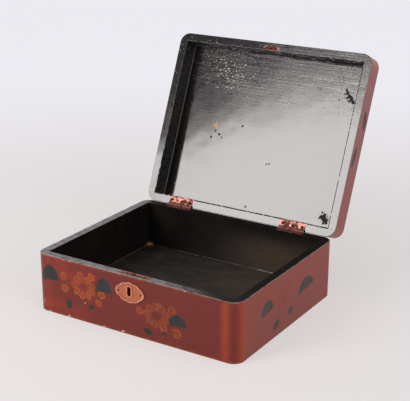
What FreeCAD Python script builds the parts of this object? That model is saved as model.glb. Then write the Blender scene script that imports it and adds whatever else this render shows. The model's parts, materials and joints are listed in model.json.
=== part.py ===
import FreeCAD, Part
import math
import os
import re
import Sketcher
from FreeCAD import Placement, Rotation, Vector

# A lacquered writing box with a hinged lid and a lock, drawn standing open.
# Base frame: origin at the centre of the underside, X to the right, Y to the back, Z up.
# Lid frame: origin at the centre of the lid's rim, Z towards the lid's outer face, as if closed.
# Hinge frame: origin on the pin's axis at the middle of the hinge, the leaves towards -Y.

SIZES = {
    # Box and lid outside, in millimetres, and how far the lid opens, in degrees
    "box_width": 250.0,
    "box_depth": 206.0,
    "base_height": 65.4,
    "lid_height": 24.8,
    "rim_gap": 0.3,
    "lid_angle": 113.2,
    # Boards
    "wall": 9.7,
    "corner_radius": 12.0,
    "edge_bevel": 0.4,
    "bottom_thickness": 11.7,
    "bottom_lip": 4.9,
    "panel_thickness": 3.4,
    "panel_lip": 4.9,
    "lid_rounding": 2.2,
    # Wooden pegs
    "bottom_peg_side": 2.2,
    "panel_peg_side": 1.6,
    "peg_grip": 9.0,
    "peg_pitch_long": 72.0,
    "peg_pitch_short": 56.0,
    "peg_play": 0.05,
    # Hinges
    "hinge_length": 32.0,
    "hinge_left": -76.0,
    "hinge_right": 73.0,
    "leaf_margin": 0.4,
    "leaf_thickness": 1.2,
    "knuckle_radius": 2.3,
    "knuckle_play": 0.2,
    "barrel_play": 0.25,
    "pin_radius": 0.9,
    "pin_play": 0.05,
    "nib_reach": 0.9,
    "nib_height": 0.9,
    "stop_play": 0.1,
    # Hinge screws
    "screw_head": 1.45,
    "screw_shank": 0.7,
    "screw_length": 8.0,
    "screw_inset": 3.7,
    "screw_line": 5.2,
    "screw_stagger": 0.8,
    "screw_play": 0.05,
    "slot_width": 0.35,
    "slot_depth": 0.25,
    "slot_margin": 0.2,
    # Lock plate, case and works
    "lock_length": 39.6,
    "lock_drop": 29.0,
    "lock_sheet": 1.2,
    "selvedge_width": 6.6,
    "case_width": 34.0,
    "case_drop": 25.0,
    "case_depth": 4.6,
    "case_sheet": 0.8,
    "case_play": 0.2,
    "case_step": 0.6,
    "slot_length": 3.3,
    "staple_place": -1.0,
    "bolt_travel": 4.5,
    "bolt_thickness": 1.6,
    "bolt_drop": 12.5,
    "bolt_height": 4.2,
    "bolt_play": 0.7,
    "bolt_slack": 3.2,
    "finger_play": 0.75,
    "finger_height": 2.4,
    "riser_width": 7.0,
    "talon_place": -1.5,
    "talon_radius": 1.1,
    "rivet_radius": 0.9,
    "rivet_play": 0.1,
    "rivet_inset": 2.6,
    "spring_sheet": 0.45,
    "spring_rise": 4.0,
    "spring_nose": -4.0,
    "spring_play": 0.1,
    "lock_screw_head": 1.1,
    "lock_screw_shank": 0.55,
    "lock_screw_length": 4.6,
    "lock_screw_edge": 1.4,
    "lock_screw_rise": 5.0,
    # Keyhole and escutcheon
    "key_place": -2.5,
    "key_drop": 21.4,
    "key_height": 10.8,
    "key_width": 4.6,
    "escutcheon_place": -2.0,
    "escutcheon_drop": 17.2,
    "escutcheon_length": 35.8,
    "escutcheon_height": 21.2,
    "escutcheon_plate": 0.9,
    "escutcheon_rim": 1.1,
    "rim_rise": 0.6,
    "lobe_rise": 0.7,
    "collar_width": 1.2,
    "collar_rise": 0.8,
    "pin_inset": 4.2,
    "nail_head": 0.75,
    "nail_shank": 0.4,
    "nail_margin": 0.3,
    "nail_seat": 0.4,
    "nail_rise": 0.3,
    # Strike plate and staple
    "strike_length": 20.8,
    "strike_width": 6.0,
    "strike_sheet": 1.0,
    "strike_radius": 25.0,
    "staple_thickness": 2.2,
    "staple_play": 0.2,
    "staple_drop": 8.4,
    "eye_play": 0.2,
    "eye_room": 0.5,
    "eye_floor": 1.2,
    "strike_screw_pitch": 12.4,
    "strike_screw_head": 1.1,
}

FINGERS_BASE = 5
FINGERS_LID = 3
KNUCKLES = 5
LOBES = 5
FIRST_SLOT_ANGLE = 35
SLOT_ANGLE_STEP = 57

# Rules that several pieces share
X_OUT = "(box_width / 2)"
Y_OUT = "(box_depth / 2)"
X_IN = "(box_width / 2 - wall)"
Y_IN = "(box_depth / 2 - wall)"
AXIS_LEVEL = "(base_height + rim_gap / 2)"
BOTTOM_REBATE = "(wall - bottom_lip)"
PANEL_REBATE = "(wall - panel_lip)"
LEAF_WIDTH = "(wall - leaf_margin)"
LOCK_FACE = f"(-{Y_IN})"
LOCK_CEILING = "(base_height - lock_sheet)"
CASE_BOTTOM = f"({LOCK_CEILING} - case_drop)"
WORKS_DEPTH = "(case_depth - case_sheet)"
BOLT_MIDDLE = f"({LOCK_FACE} - lock_sheet - {WORKS_DEPTH} / 2)"
BOLT_FLOOR = "(base_height - bolt_drop)"
BOLT_TOP = f"({BOLT_FLOOR} + bolt_height)"
BOLT_LEFT = "(case_sheet + bolt_play + bolt_travel - case_width / 2)"
BOLT_RIGHT = "(case_width / 2 - case_sheet - bolt_slack)"
FINGER_LEFT = "(staple_place + slot_length / 2 + finger_play)"
FINGER_FLOOR = "(base_height + rim_gap - staple_drop + eye_floor + eye_room)"
RIVETS = (f"({BOLT_LEFT} + rivet_inset)", f"({BOLT_RIGHT} - rivet_inset - bolt_travel)")
RIVET_LEVEL = f"({BOLT_FLOOR} + bolt_height / 2)"
KEY_FLOOR = "(base_height - key_drop)"
ESCUTCHEON_LEVEL = "(base_height - escutcheon_drop)"
NAIL_LENGTH = "(wall - lock_sheet - case_depth - case_play - nail_margin)"
NOTCH_RADIUS = (
    "(sqrt((knuckle_radius + nib_reach) ^ 2"
    " + (rim_gap / 2 + leaf_thickness + stop_play + nib_height) ^ 2) + barrel_play)"
)

document = FreeCAD.newDocument("writing_box")
sheet = document.addObject("Spreadsheet::Sheet", "Sizes")
for row, (alias, value) in enumerate(SIZES.items(), start=1):
    sheet.set(f"A{row}", alias)
    sheet.set(f"B{row}", str(value))
    sheet.setAlias(f"B{row}", alias)
document.recompute()

subparts = []


def sized(rule):
    """The rule with every size in it read from the sheet."""
    return re.sub(r"[a-z_]{3,}", lambda word: "Sizes." + word[0] if word[0] in SIZES else word[0], rule)


def number(rule):
    """What a rule comes to at the sheet's present sizes."""
    return float(sheet.evalExpression(sized(rule)))


def bind(thing, field, rule):
    thing.setExpression(field, sized(rule))


def subpart(kind, label):
    """A new sub-part, whose label names its file."""
    piece = document.addObject(kind, label)
    piece.Label = label
    subparts.append(piece)
    return piece


def place_on_lid(piece):
    """Hang a piece drawn in the lid frame at the open lid's place."""
    piece.Placement = Placement(Vector(), Rotation(Vector(-1, 0, 0), number("lid_angle")))
    bind(piece, "Placement.Rotation.Angle", "lid_angle")
    bind(piece, "Placement.Base.y", f"{Y_OUT} - {Y_OUT} * cos(lid_angle) + rim_gap / 2 * sin(lid_angle)")
    bind(piece, "Placement.Base.z", f"{AXIS_LEVEL} + {Y_OUT} * sin(lid_angle) + rim_gap / 2 * cos(lid_angle)")


def place_on_axis(piece, hinge_x, opened):
    """Put a piece drawn in the hinge frame on the hinge's axis."""
    if opened:
        piece.Placement = Placement(Vector(), Rotation(Vector(-1, 0, 0), number("lid_angle")))
        bind(piece, "Placement.Rotation.Angle", "lid_angle")
    bind(piece, "Placement.Base.x", hinge_x)
    bind(piece, "Placement.Base.y", Y_OUT)
    bind(piece, "Placement.Base.z", AXIS_LEVEL)


def sketch_on(body, name, plane, level="0"):
    """A sketch on one of the body's own planes, moved along the plane's normal to the level."""
    support = next(feature for feature in body.Origin.OriginFeatures if feature.Role == plane)
    sketch = body.newObject("Sketcher::SketchObject", name)
    sketch.AttachmentSupport = [(support, "")]
    sketch.MapMode = "FlatFace"
    bind(sketch, "AttachmentOffset.Base.z", level)
    return sketch


def constrain(sketch, kind, places, rule):
    index = sketch.addConstraint(Sketcher.Constraint(kind, *places, number(rule)))
    bind(sketch, f"Constraints[{index}]", rule)


def arc_through(start, end, axis, value):
    """The arc from start to end, anticlockwise, whose centre has the value on the axis."""
    middle = (start + end) * 0.5
    across = Vector(end.y - start.y, start.x - end.x, 0)
    reach = (value - middle[axis]) / across[axis]
    centre = middle + across * reach
    angles = [math.atan2(point.y - centre.y, point.x - centre.x) for point in (start, end)]
    circle = Part.Circle(centre, Vector(0, 0, 1), (start - centre).Length)
    return Part.ArcOfCircle(circle, angles[0], angles[1])


def outline(sketch, corners, arcs=None):
    """A closed run of sides, anticlockwise. A side in arcs is an arc, held by its centre's X or Y."""
    arcs = arcs or {}
    points = [Vector(number(x), number(y), 0) for x, y in corners]
    first = sketch.GeometryCount
    count = len(points)
    for side, start in enumerate(points):
        end = points[(side + 1) % count]
        if side in arcs:
            axis, rule = arcs[side]
            sketch.addGeometry(arc_through(start, end, "XY".index(axis), number(rule)), False)
        else:
            sketch.addGeometry(Part.LineSegment(start, end), False)
    for side in range(count):
        follower = first + (side + 1) % count
        sketch.addConstraint(Sketcher.Constraint("Coincident", first + side, 2, follower, 1))
    for side, (x, y) in enumerate(corners):
        constrain(sketch, "DistanceX", (-1, 1, first + side, 1), x)
        constrain(sketch, "DistanceY", (-1, 1, first + side, 1), y)
        if side in arcs:
            axis, rule = arcs[side]
            constrain(sketch, f"Distance{axis}", (-1, 1, first + side, 3), rule)


def rectangle(sketch, left, low, right, high):
    outline(sketch, [(left, low), (right, low), (right, high), (left, high)])


def circle(sketch, x, y, radius):
    centre = Vector(number(x), number(y), 0)
    index = sketch.addGeometry(Part.Circle(centre, Vector(0, 0, 1), number(radius)), False)
    constrain(sketch, "DistanceX", (-1, 1, index, 3), x)
    constrain(sketch, "DistanceY", (-1, 1, index, 3), y)
    constrain(sketch, "Radius", (index,), radius)


def pad(body, sketch, length):
    """Add the sketch's area, raised along its normal."""
    feature = body.newObject("PartDesign::Pad", sketch.Name + "_pad")
    feature.Profile = sketch
    bind(feature, "Length", length)
    document.recompute()
    return feature


def cut(body, sketch, depth, along=False):
    """Cut the sketch's area, against its normal or along it, and make sure that wood or metal went."""
    before = body.Shape.Volume
    feature = body.newObject("PartDesign::Pocket", sketch.Name + "_cut")
    feature.Profile = sketch
    feature.Reversed = along
    bind(feature, "Length", depth)
    document.recompute()
    if not body.Shape.Volume < before - 1e-6:
        raise RuntimeError(f"{feature.Name} cuts nothing")
    return feature


def dress_edges(body, kind, name, size, chosen):
    """Round or bevel the edges of the body's tip that the test picks."""
    tip = body.Tip
    picked = [f"Edge{n}" for n, edge in enumerate(tip.Shape.Edges, start=1) if chosen(edge)]
    feature = body.newObject(f"PartDesign::{kind}", name)
    feature.Base = (tip, picked)
    bind(feature, "Radius" if kind == "Fillet" else "Size", size)
    document.recompute()


# Boards of the box and of the lid

SIDES = {"front": (0, -1), "back": (0, 1), "left": (-1, 0), "right": (1, 0)}


def swing(side, across, out):
    """Turn a place given along and outward of a wall into X and Y rules of the box."""
    x, y = SIDES[side]
    if x:
        return (f"({x}) * ({out})", f"({x}) * ({across})")
    return (f"({-y}) * ({across})", f"({y}) * ({out})")


def board(label, side, height):
    """One wall: square inside, with the box's rounded corners at its outer ends."""
    body = subpart("PartDesign::Body", label)
    half, deep = (Y_OUT, X_OUT) if SIDES[side][0] else (X_OUT, Y_OUT)
    centre = f"({half} - corner_radius)"
    tip = f"({centre} + sqrt(corner_radius ^ 2 - (corner_radius - wall) ^ 2))"
    plan = sketch_on(body, label + "_plan", "XY_Plane")
    inside = f"{deep} - wall"
    corners = [(f"-{centre}", deep), (centre, deep), (tip, inside), (f"-{tip}", inside)]
    axis = "Y" if SIDES[side][0] else "X"
    turn = 0 if axis == "X" else 1
    ends = [swing(side, across, deep)[turn] for across in (centre, f"-{centre}")]
    outline(plan, [swing(side, *corner) for corner in corners], {1: (axis, ends[0]), 3: (axis, ends[1])})
    pad(body, plan, height)
    return body


def outer_edges(level):
    """A test for the edges at this level that lie on the box's rounded outline."""
    width, depth, radius = number(X_OUT), number(Y_OUT), number("corner_radius")

    def on_outline(point):
        x = max(abs(point.x) - (width - radius), 0)
        y = max(abs(point.y) - (depth - radius), 0)
        return abs(math.hypot(x, y) - radius) < 1e-4

    def chosen(edge):
        span = edge.LastParameter - edge.FirstParameter
        places = [edge.valueAt(edge.FirstParameter + share * span) for share in (0.0, 0.5, 1.0)]
        return all(abs(place.z - level) < 1e-4 and on_outline(place) for place in places)

    return chosen


def finger_joint(body, side, height, fingers, first):
    """Cut every other finger out of both ends, where the neighbour's fingers lie."""
    level = f"{height} * {first} / {fingers}"
    sketch = sketch_on(body, body.Label + "_fingers", "XY_Plane", level)
    x, y = SIDES[side]
    for end in (-1, 1):
        sx, sy = (x or end), (y or end)
        left, right = sorted((f"({sx}) * {X_IN}", f"({sx}) * ({X_OUT} + wall)"), key=number)
        low, high = sorted((f"({sy}) * {Y_IN}", f"({sy}) * ({Y_OUT} + wall)"), key=number)
        rectangle(sketch, left, low, right, high)
    notch = cut(body, sketch, f"{height} / {fingers}", along=True)
    count = len(range(first, fingers, 2))
    if count > 1:
        pattern = body.newObject("PartDesign::LinearPattern", body.Label + "_finger_row")
        pattern.Originals = [notch]
        pattern.Direction = (sketch, ["N_Axis"])
        bind(pattern, "Length", f"{height} * {2 * (count - 1)} / {fingers}")
        pattern.Occurrences = count
        body.Tip = pattern
        document.recompute()


def rebate_outline(sketch, rebate):
    """The plan of the bottom board or of the lid's panel, and of its seat in the walls."""
    x, y = f"({X_IN} + {rebate})", f"({Y_IN} + {rebate})"
    rectangle(sketch, f"-{x}", f"-{y}", x, y)


def board_rebate(body, level, depth, rebate):
    """Cut the seat of the bottom board or of the lid's panel."""
    sketch = sketch_on(body, body.Label + "_rebate", "XY_Plane", level)
    rebate_outline(sketch, rebate)
    cut(body, sketch, depth, along=True)


def peg_places(rebate):
    """Where the pegs stand: midway across the rebate, three to a long side and two to a short one."""
    x, y = f"({X_IN} + {rebate} / 2)", f"({Y_IN} + {rebate} / 2)"
    places = {side: [] for side in SIDES}
    for side, sign in (("front", "-"), ("back", "")):
        places[side] = [(f"{step} * peg_pitch_long", f"{sign}{y}") for step in (-1, 0, 1)]
    for side, sign in (("left", "-"), ("right", "")):
        places[side] = [(f"{sign}{x}", f"{step} * peg_pitch_short") for step in (-0.5, 0.5)]
    return places


def peg_holes(body, places, level, side, depth, along):
    """Square holes, as the split pegs press them into the wood."""
    sketch = sketch_on(body, body.Label + "_peg_holes", "XY_Plane", level)
    half = f"({side} / 2 + peg_play)"
    for x, y in places:
        rectangle(sketch, f"{x} - {half}", f"{y} - {half}", f"{x} + {half}", f"{y} + {half}")
    cut(body, sketch, depth, along=along)


def pegs(label, places, side, level, length):
    """A group of equal split wooden pegs, standing up from the level."""
    group = subpart("Part::Feature", label)
    width = number(side)
    peg = Part.makeBox(width, width, number(length), Vector(-width / 2, -width / 2, 0))
    spots = [Vector(number(x), number(y), number(level)) for row in places.values() for x, y in row]
    group.Shape = Part.makeCompound([peg.translated(spot) for spot in spots])
    return group


def hinge_seat(body, rim, up, hinge, hinge_x, notch):
    """Let one hinge leaf, its barrel and its screws into a board's rim."""
    left, right = f"{hinge_x} - hinge_length / 2", f"{hinge_x} + hinge_length / 2"
    seat = sketch_on(body, f"{body.Label}_{hinge}_seat", "XY_Plane", rim)
    rectangle(seat, left, f"{Y_OUT} - {LEAF_WIDTH}", right, f"{Y_OUT} + wall")
    cut(body, seat, "leaf_thickness", along=up)
    sign = "-" if up else "+"
    hollow = sketch_on(body, f"{body.Label}_{hinge}_hollow", "YZ_Plane", left)
    circle(hollow, Y_OUT, f"{rim} {sign} rim_gap / 2", notch)
    cut(body, hollow, "hinge_length", along=True)
    pilots = sketch_on(body, f"{body.Label}_{hinge}_pilots", "XY_Plane", rim)
    for x, y in screw_places():
        circle(pilots, f"{hinge_x} + {x}", f"{Y_OUT} + {y}", "screw_shank + screw_play")
    cut(body, pilots, "screw_length + screw_play", along=up)


# Hinges

def screw_places():
    """The three screws of a leaf, the middle one nearer to the barrel."""
    reach = "(hinge_length / 2 - screw_inset)"
    return [(f"-{reach}", "-screw_line"), ("0", "-(screw_line - screw_stagger)"), (reach, "-screw_line")]


def knuckle_edges(index, own):
    """Left and right of a knuckle, drawn in by half the play where another knuckle is beside it."""
    left = f"hinge_length * {index / KNUCKLES - 0.5:.3f}"
    right = f"hinge_length * {(index + 1) / KNUCKLES - 0.5:.3f}"
    pull = "knuckle_play / 2" if own else "-knuckle_play / 2"
    if index > 0:
        left += f" + {pull}"
    if index < KNUCKLES - 1:
        right += f" - ({pull})"
    return left, right


def hinge_leaf(label, hinge_x, on_lid):
    """A stop hinge's leaf: a countersunk plate, its knuckles and, on the lid's leaf, two stop nibs."""
    body = subpart("PartDesign::Body", label)
    place_on_axis(body, hinge_x, on_lid)
    own = range(1, KNUCKLES, 2) if on_lid else range(0, KNUCKLES, 2)
    top = "rim_gap / 2" if on_lid else "-rim_gap / 2 - leaf_thickness"
    plate = sketch_on(body, label + "_plate", "XY_Plane", top)
    corners = [("-hinge_length / 2", f"-{LEAF_WIDTH}"), ("hinge_length / 2", f"-{LEAF_WIDTH}")]
    for index in reversed(range(KNUCKLES)):
        left, right = knuckle_edges(index, index in own)
        root = "0" if index in own else "-(knuckle_radius + barrel_play)"
        corners += [(right, root), (left, root)]
    outline(plate, corners)
    pad(body, plate, "leaf_thickness")
    for index in own:
        left, right = knuckle_edges(index, True)
        ring = sketch_on(body, f"{label}_knuckle_{index}", "YZ_Plane", left)
        circle(ring, "0", "0", "knuckle_radius")
        pad(body, ring, f"({right}) - ({left})")
        if on_lid:
            nib(body, index, left, right)
    bore = sketch_on(body, label + "_bore", "YZ_Plane", "-hinge_length / 2 - wall")
    circle(bore, "0", "0", "pin_radius + pin_play")
    cut(body, bore, "hinge_length + 2 * wall", along=True)
    holes = sketch_on(body, label + "_screw_holes", "XY_Plane", "rim_gap / 2" if on_lid else "-rim_gap / 2")
    for x, y in screw_places():
        circle(holes, x, y, "screw_shank + screw_play")
    countersink(body, holes, "screw_shank + screw_play", "screw_head + screw_play", on_lid)
    return body


def nib(body, index, left, right):
    """The small block under a lid knuckle that meets the base leaf when the lid stands open."""
    block = sketch_on(body, f"{body.Label}_nib_{index}", "YZ_Plane", left)
    offset = block.AttachmentOffset
    offset.Rotation = Rotation(Vector(0, 0, 1), number("lid_angle"))
    block.AttachmentOffset = offset
    bind(block, "AttachmentOffset.Rotation.Angle", "lid_angle")
    ceiling = "-(rim_gap / 2 + leaf_thickness + stop_play)"
    floor = f"{ceiling} - nib_height"
    rectangle(block, "-(knuckle_radius + nib_reach)", floor, "-knuckle_radius / 2", ceiling)
    pad(body, block, f"({right}) - ({left})")


def countersink(body, sketch, radius, head, upward):
    """Drill the sketch's circles through the body, each widened for a flat screw head."""
    document.recompute()
    before = body.Shape.Volume
    feature = body.newObject("PartDesign::Hole", sketch.Name + "_drilled")
    feature.Profile = sketch
    document.recompute()
    feature.Threaded = False
    feature.DepthType = "ThroughAll"
    feature.Reversed = upward
    bind(feature, "Diameter", f"2 * ({radius})")
    feature.HoleCutType = "Countersink"
    bind(feature, "HoleCutDiameter", f"2 * ({head})")
    feature.HoleCutCountersinkAngle = 90
    document.recompute()
    if not body.Shape.Volume < before - 1e-6:
        raise RuntimeError(f"{feature.Name} drills nothing")


def screw(head, shank, length):
    """A slotted flat-head wood screw with a blunt end, its head's face at the origin, going down -Z."""
    radius, stem, reach = number(head), number(shank), number(length)
    profile = [(0, 0), (radius, 0), (stem, stem - radius), (stem, -reach), (0, -reach)]
    corners = [Vector(x, 0, z) for x, z in profile]
    solid = Part.Face(Part.makePolygon(corners + corners[:1])).revolve(Vector(), Vector(0, 0, 1), 360)
    width, depth = number("slot_width"), number("slot_depth")
    half = radius - number("slot_margin")
    slot = Part.makeBox(2 * half, width, 2 * depth, Vector(-half, -width / 2, -depth))
    return solid.cut(slot)


def screw_group(label, places, facing, sizes=("screw_head", "screw_shank", "screw_length")):
    """A group of equal screws, each turned by hand to its own slot angle."""
    group = subpart("Part::Feature", label)
    solid = screw(*sizes)
    copies = []
    for index, (x, y, z) in enumerate(places):
        turned = Rotation(Vector(0, 0, 1), FIRST_SLOT_ANGLE + SLOT_ANGLE_STEP * index)
        spot = Vector(number(x), number(y), number(z))
        copies.append(solid.transformed(Placement(spot, facing * turned).toMatrix()))
    group.Shape = Part.makeCompound(copies)
    return group


def hinge_pin(label, hinge_x):
    """The pin, a plain rod as long as the barrel."""
    body = subpart("PartDesign::Body", label)
    place_on_axis(body, hinge_x, False)
    section = sketch_on(body, label + "_section", "YZ_Plane", "-hinge_length / 2")
    circle(section, "0", "0", "pin_radius")
    pad(body, section, "hinge_length")


# Lock

def lock_mortise(body):
    """Recesses for the lock in the front wall: back plate, selvedge and case, and the keyhole."""
    top = "base_height"
    plate = sketch_on(body, "mortise_plate", "XY_Plane", top)
    behind = f"{LOCK_FACE} - lock_sheet"
    rectangle(plate, "-lock_length / 2", behind, "lock_length / 2", f"{LOCK_FACE} + wall")
    cut(body, plate, "lock_drop")
    ledge = sketch_on(body, "mortise_selvedge", "XY_Plane", top)
    rectangle(ledge, "-lock_length / 2", f"{LOCK_FACE} - selvedge_width", "lock_length / 2", LOCK_FACE)
    cut(body, ledge, "lock_sheet")
    case = sketch_on(body, "mortise_case", "XY_Plane", top)
    half = "(case_width / 2 + case_play)"
    rectangle(case, f"-{half}", f"{LOCK_FACE} - lock_sheet - case_depth - case_play", half, LOCK_FACE)
    cut(body, case, "lock_sheet + case_drop + case_play")
    keyhole_cut(body, "mortise_keyhole", "wall", Y_OUT)
    pilots = sketch_on(body, "mortise_pilots", "XZ_Plane", Y_IN)
    for x, z in lock_screw_places():
        circle(pilots, x, z, "lock_screw_shank + screw_play")
    cut(body, pilots, "lock_screw_length + lock_sheet", along=True)
    nails = sketch_on(body, "mortise_nails", "XZ_Plane", Y_OUT)
    for sign in (-1, 1):
        reach = f"escutcheon_place + {sign} * (escutcheon_length / 2 - pin_inset)"
        circle(nails, reach, ESCUTCHEON_LEVEL, "nail_shank + screw_play")
    cut(body, nails, NAIL_LENGTH)


def keyhole_cut(body, name, depth, level):
    """The keyhole: a straight slot with round ends, cut in from the front."""
    radius = "key_width / 2"
    floor, ceiling = f"{KEY_FLOOR} + {radius}", f"{KEY_FLOOR} + key_height - {radius}"
    left, right = f"key_place - {radius}", f"key_place + {radius}"
    sketch = sketch_on(body, name, "XZ_Plane", level)
    outline(sketch, [(left, floor), (right, floor), (right, ceiling), (left, ceiling)],
            {0: ("Y", floor), 2: ("Y", ceiling)})
    cut(body, sketch, depth)


def lock_screw_places():
    """The back plate's four corner screws, seen from the front."""
    x = "(lock_length / 2 - lock_screw_edge)"
    low, high = "base_height - lock_drop + lock_screw_rise", "base_height - lock_screw_rise"
    return [(f"{sign}{x}", z) for sign in ("-", "") for z in (low, high)]


def lock_plate():
    """Selvedge and back plate, bent from one sheet, with the staple's slot and the screw holes."""
    body = subpart("PartDesign::Body", "lock_plate")
    section = sketch_on(body, "lock_plate_section", "YZ_Plane", "-lock_length / 2")
    outline(section, [
        (f"{LOCK_FACE} - lock_sheet", "base_height - lock_drop"), (LOCK_FACE, "base_height - lock_drop"),
        (LOCK_FACE, "base_height"), (f"{LOCK_FACE} - selvedge_width", "base_height"),
        (f"{LOCK_FACE} - selvedge_width", LOCK_CEILING), (f"{LOCK_FACE} - lock_sheet", LOCK_CEILING),
    ])
    pad(body, section, "lock_length")
    slot = sketch_on(body, "lock_plate_slot", "XY_Plane", "base_height")
    rectangle(slot, "staple_place - slot_length / 2", f"{LOCK_FACE} - selvedge_width + case_step",
              "staple_place + slot_length / 2", f"{LOCK_FACE} - lock_sheet")
    cut(body, slot, "lock_sheet")
    holes = sketch_on(body, "lock_plate_holes", "XZ_Plane", Y_IN)
    for x, z in lock_screw_places():
        circle(holes, x, z, "lock_screw_shank + screw_play")
    countersink(body, holes, "lock_screw_shank + screw_play", "lock_screw_head + screw_play", True)
    rivets = sketch_on(body, "lock_plate_rivets", "XZ_Plane", Y_IN)
    rivet_circles(rivets)
    cut(body, rivets, "lock_sheet", along=True)


def rivet_circles(sketch):
    for x in RIVETS:
        circle(sketch, x, RIVET_LEVEL, "rivet_radius + screw_play")


def lock_case():
    """The works' tray, open to the back plate and to the selvedge."""
    body = subpart("PartDesign::Body", "lock_case")
    back = f"{LOCK_FACE} - lock_sheet"
    front = f"({back} - case_depth)"
    plan = sketch_on(body, "lock_case_plan", "XY_Plane", CASE_BOTTOM)
    rectangle(plan, "-case_width / 2", front, "case_width / 2", back)
    pad(body, plan, "case_drop")
    room = sketch_on(body, "lock_case_room", "XY_Plane", f"{CASE_BOTTOM} + case_sheet")
    inner = "(case_width / 2 - case_sheet)"
    rectangle(room, f"-{inner}", f"{front} + case_sheet", inner, f"{back} + case_sheet")
    cut(body, room, "case_drop", along=True)
    keyhole_cut(body, "lock_case_keyhole", "wall", Y_OUT)
    rivets = sketch_on(body, "lock_case_rivets", "XZ_Plane", f"-({back})")
    rivet_circles(rivets)
    cut(body, rivets, "wall", along=True)


def lock_bolt():
    """The bolt: a plate with a finger for the staple's eye, a talon for the key and two guide slots."""
    body = subpart("PartDesign::Body", "lock_bolt")
    level = f"-({BOLT_MIDDLE}) - bolt_thickness / 2"
    face = sketch_on(body, "lock_bolt_face", "XZ_Plane", level)
    riser = f"({BOLT_RIGHT} - riser_width)"
    crown = f"({FINGER_FLOOR} + finger_height)"
    outline(face, [
        (BOLT_LEFT, BOLT_FLOOR), (BOLT_RIGHT, BOLT_FLOOR), (BOLT_RIGHT, crown),
        (FINGER_LEFT, crown), (FINGER_LEFT, FINGER_FLOOR), (riser, FINGER_FLOOR),
        (riser, BOLT_TOP), (BOLT_LEFT, BOLT_TOP),
    ])
    pad(body, face, "bolt_thickness")
    talon = sketch_on(body, "lock_bolt_talon", "XZ_Plane", f"{level} + bolt_thickness")
    circle(talon, "talon_place", BOLT_FLOOR, "talon_radius")
    cut(body, talon, "bolt_thickness")
    slots = sketch_on(body, "lock_bolt_slots", "XZ_Plane", f"{level} + bolt_thickness")
    radius = "(rivet_radius + rivet_play)"
    low, high = f"{RIVET_LEVEL} - {radius}", f"{RIVET_LEVEL} + {radius}"
    for left in RIVETS:
        right = f"({left} + bolt_travel)"
        outline(slots, [(left, low), (right, low), (right, high), (left, high)],
                {1: ("X", right), 3: ("X", left)})
    cut(body, slots, "bolt_thickness")


def lock_rivets():
    """Two rivets that hold the tray to the back plate and guide the bolt."""
    group = subpart("Part::Feature", "lock_rivets")
    length = number("lock_sheet + case_depth")
    stem = Part.makeCylinder(number("rivet_radius"), length, Vector(), Vector(0, -1, 0))
    spots = [Vector(number(x), number(LOCK_FACE), number(RIVET_LEVEL)) for x in RIVETS]
    group.Shape = Part.makeCompound([stem.translated(spot) for spot in spots])


def lock_spring():
    """A bent leaf spring, from the tray's side to the top of the bolt."""
    body = subpart("PartDesign::Body", "lock_spring")
    face = sketch_on(body, "lock_spring_face", "XZ_Plane", f"-({BOLT_MIDDLE}) - bolt_thickness / 2")
    start = "(-case_width / 2 + case_sheet)"
    rest = f"({BOLT_TOP} + spring_play)"
    outline(face, [
        (start, f"{rest} + spring_rise"), ("spring_nose", rest),
        ("spring_nose + spring_sheet", f"{rest} + spring_sheet"), ("spring_nose", f"{rest} + spring_sheet"),
        (start, f"{rest} + spring_rise + spring_sheet"),
    ])
    pad(body, face, "bolt_thickness")


# Escutcheon

def scallops(length, height, level):
    """An almond outline whose two sides are each a row of shallow lobes."""
    half, rise = length / 2, height / 2
    radius = (half ** 2 + rise ** 2) / (2 * rise)
    sweep = math.asin(half / radius)
    edges = []
    for side in (1, -1):
        centre = Vector(0, side * (rise - radius), level)
        angles = [sweep * (1 - 2 * step / LOBES) for step in range(LOBES + 1)]
        for start, end in zip(angles, angles[1:]):
            middle = (start + end) / 2
            reaches = (radius, radius + number("lobe_rise"), radius)
            ends = [centre + Vector(side * reach * math.sin(angle), side * reach * math.cos(angle), 0)
                    for reach, angle in zip(reaches, (start, middle, end))]
            edges.append(Part.Arc(*ends).toShape())
    return Part.Face(Part.Wire(edges))


def long_hole(width, height, x, y, level):
    """The face of an upright slot with round ends, centred on x and y."""
    radius, straight = width / 2, height / 2 - width / 2
    corners = [Vector(x - radius, y - straight, level), Vector(x, y - straight - radius, level),
               Vector(x + radius, y - straight, level), Vector(x + radius, y + straight, level),
               Vector(x, y + straight + radius, level), Vector(x - radius, y + straight, level)]
    edges = [Part.Arc(*corners[:3]).toShape(), Part.LineSegment(corners[2], corners[3]).toShape(),
             Part.Arc(*corners[3:]).toShape(), Part.LineSegment(corners[5], corners[0]).toShape()]
    return Part.Face(Part.Wire(edges))


def escutcheon():
    """The keyhole plate: an almond with scalloped sides, a raised rim and a raised collar."""
    piece = subpart("Part::Feature", "escutcheon")
    length, height = number("escutcheon_length"), number("escutcheon_height")
    plate, rim = number("escutcheon_plate"), number("escutcheon_rim")
    rise = number("rim_rise")
    body = scallops(length, height, 0).extrude(Vector(0, 0, plate + rise))
    slope = math.hypot(length, height) / height
    dish = scallops(length - 2 * rim * slope, height - 2 * rim, plate).extrude(Vector(0, 0, 2 * rise))
    x = number("key_place - escutcheon_place")
    y = number(f"{KEY_FLOOR} + key_height / 2 - {ESCUTCHEON_LEVEL}")
    width, tall, band = number("key_width"), number("key_height"), number("collar_width")
    collar = long_hole(width + 2 * band, tall + 2 * band, x, y, 0)
    collar = collar.extrude(Vector(0, 0, plate + number("collar_rise")))
    hole = long_hole(width, tall, x, y, -plate).extrude(Vector(0, 0, 4 * plate))
    solid = body.cut(dish).fuse(collar).cut(hole)
    for sign in (-1, 1):
        reach = sign * (length / 2 - number("pin_inset"))
        nail = Part.makeCylinder(number("nail_shank + screw_play"), 2 * plate, Vector(reach, 0, -plate / 2))
        solid = solid.cut(nail)
    piece.Shape = solid.removeSplitter()
    place_on_front(piece)


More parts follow.
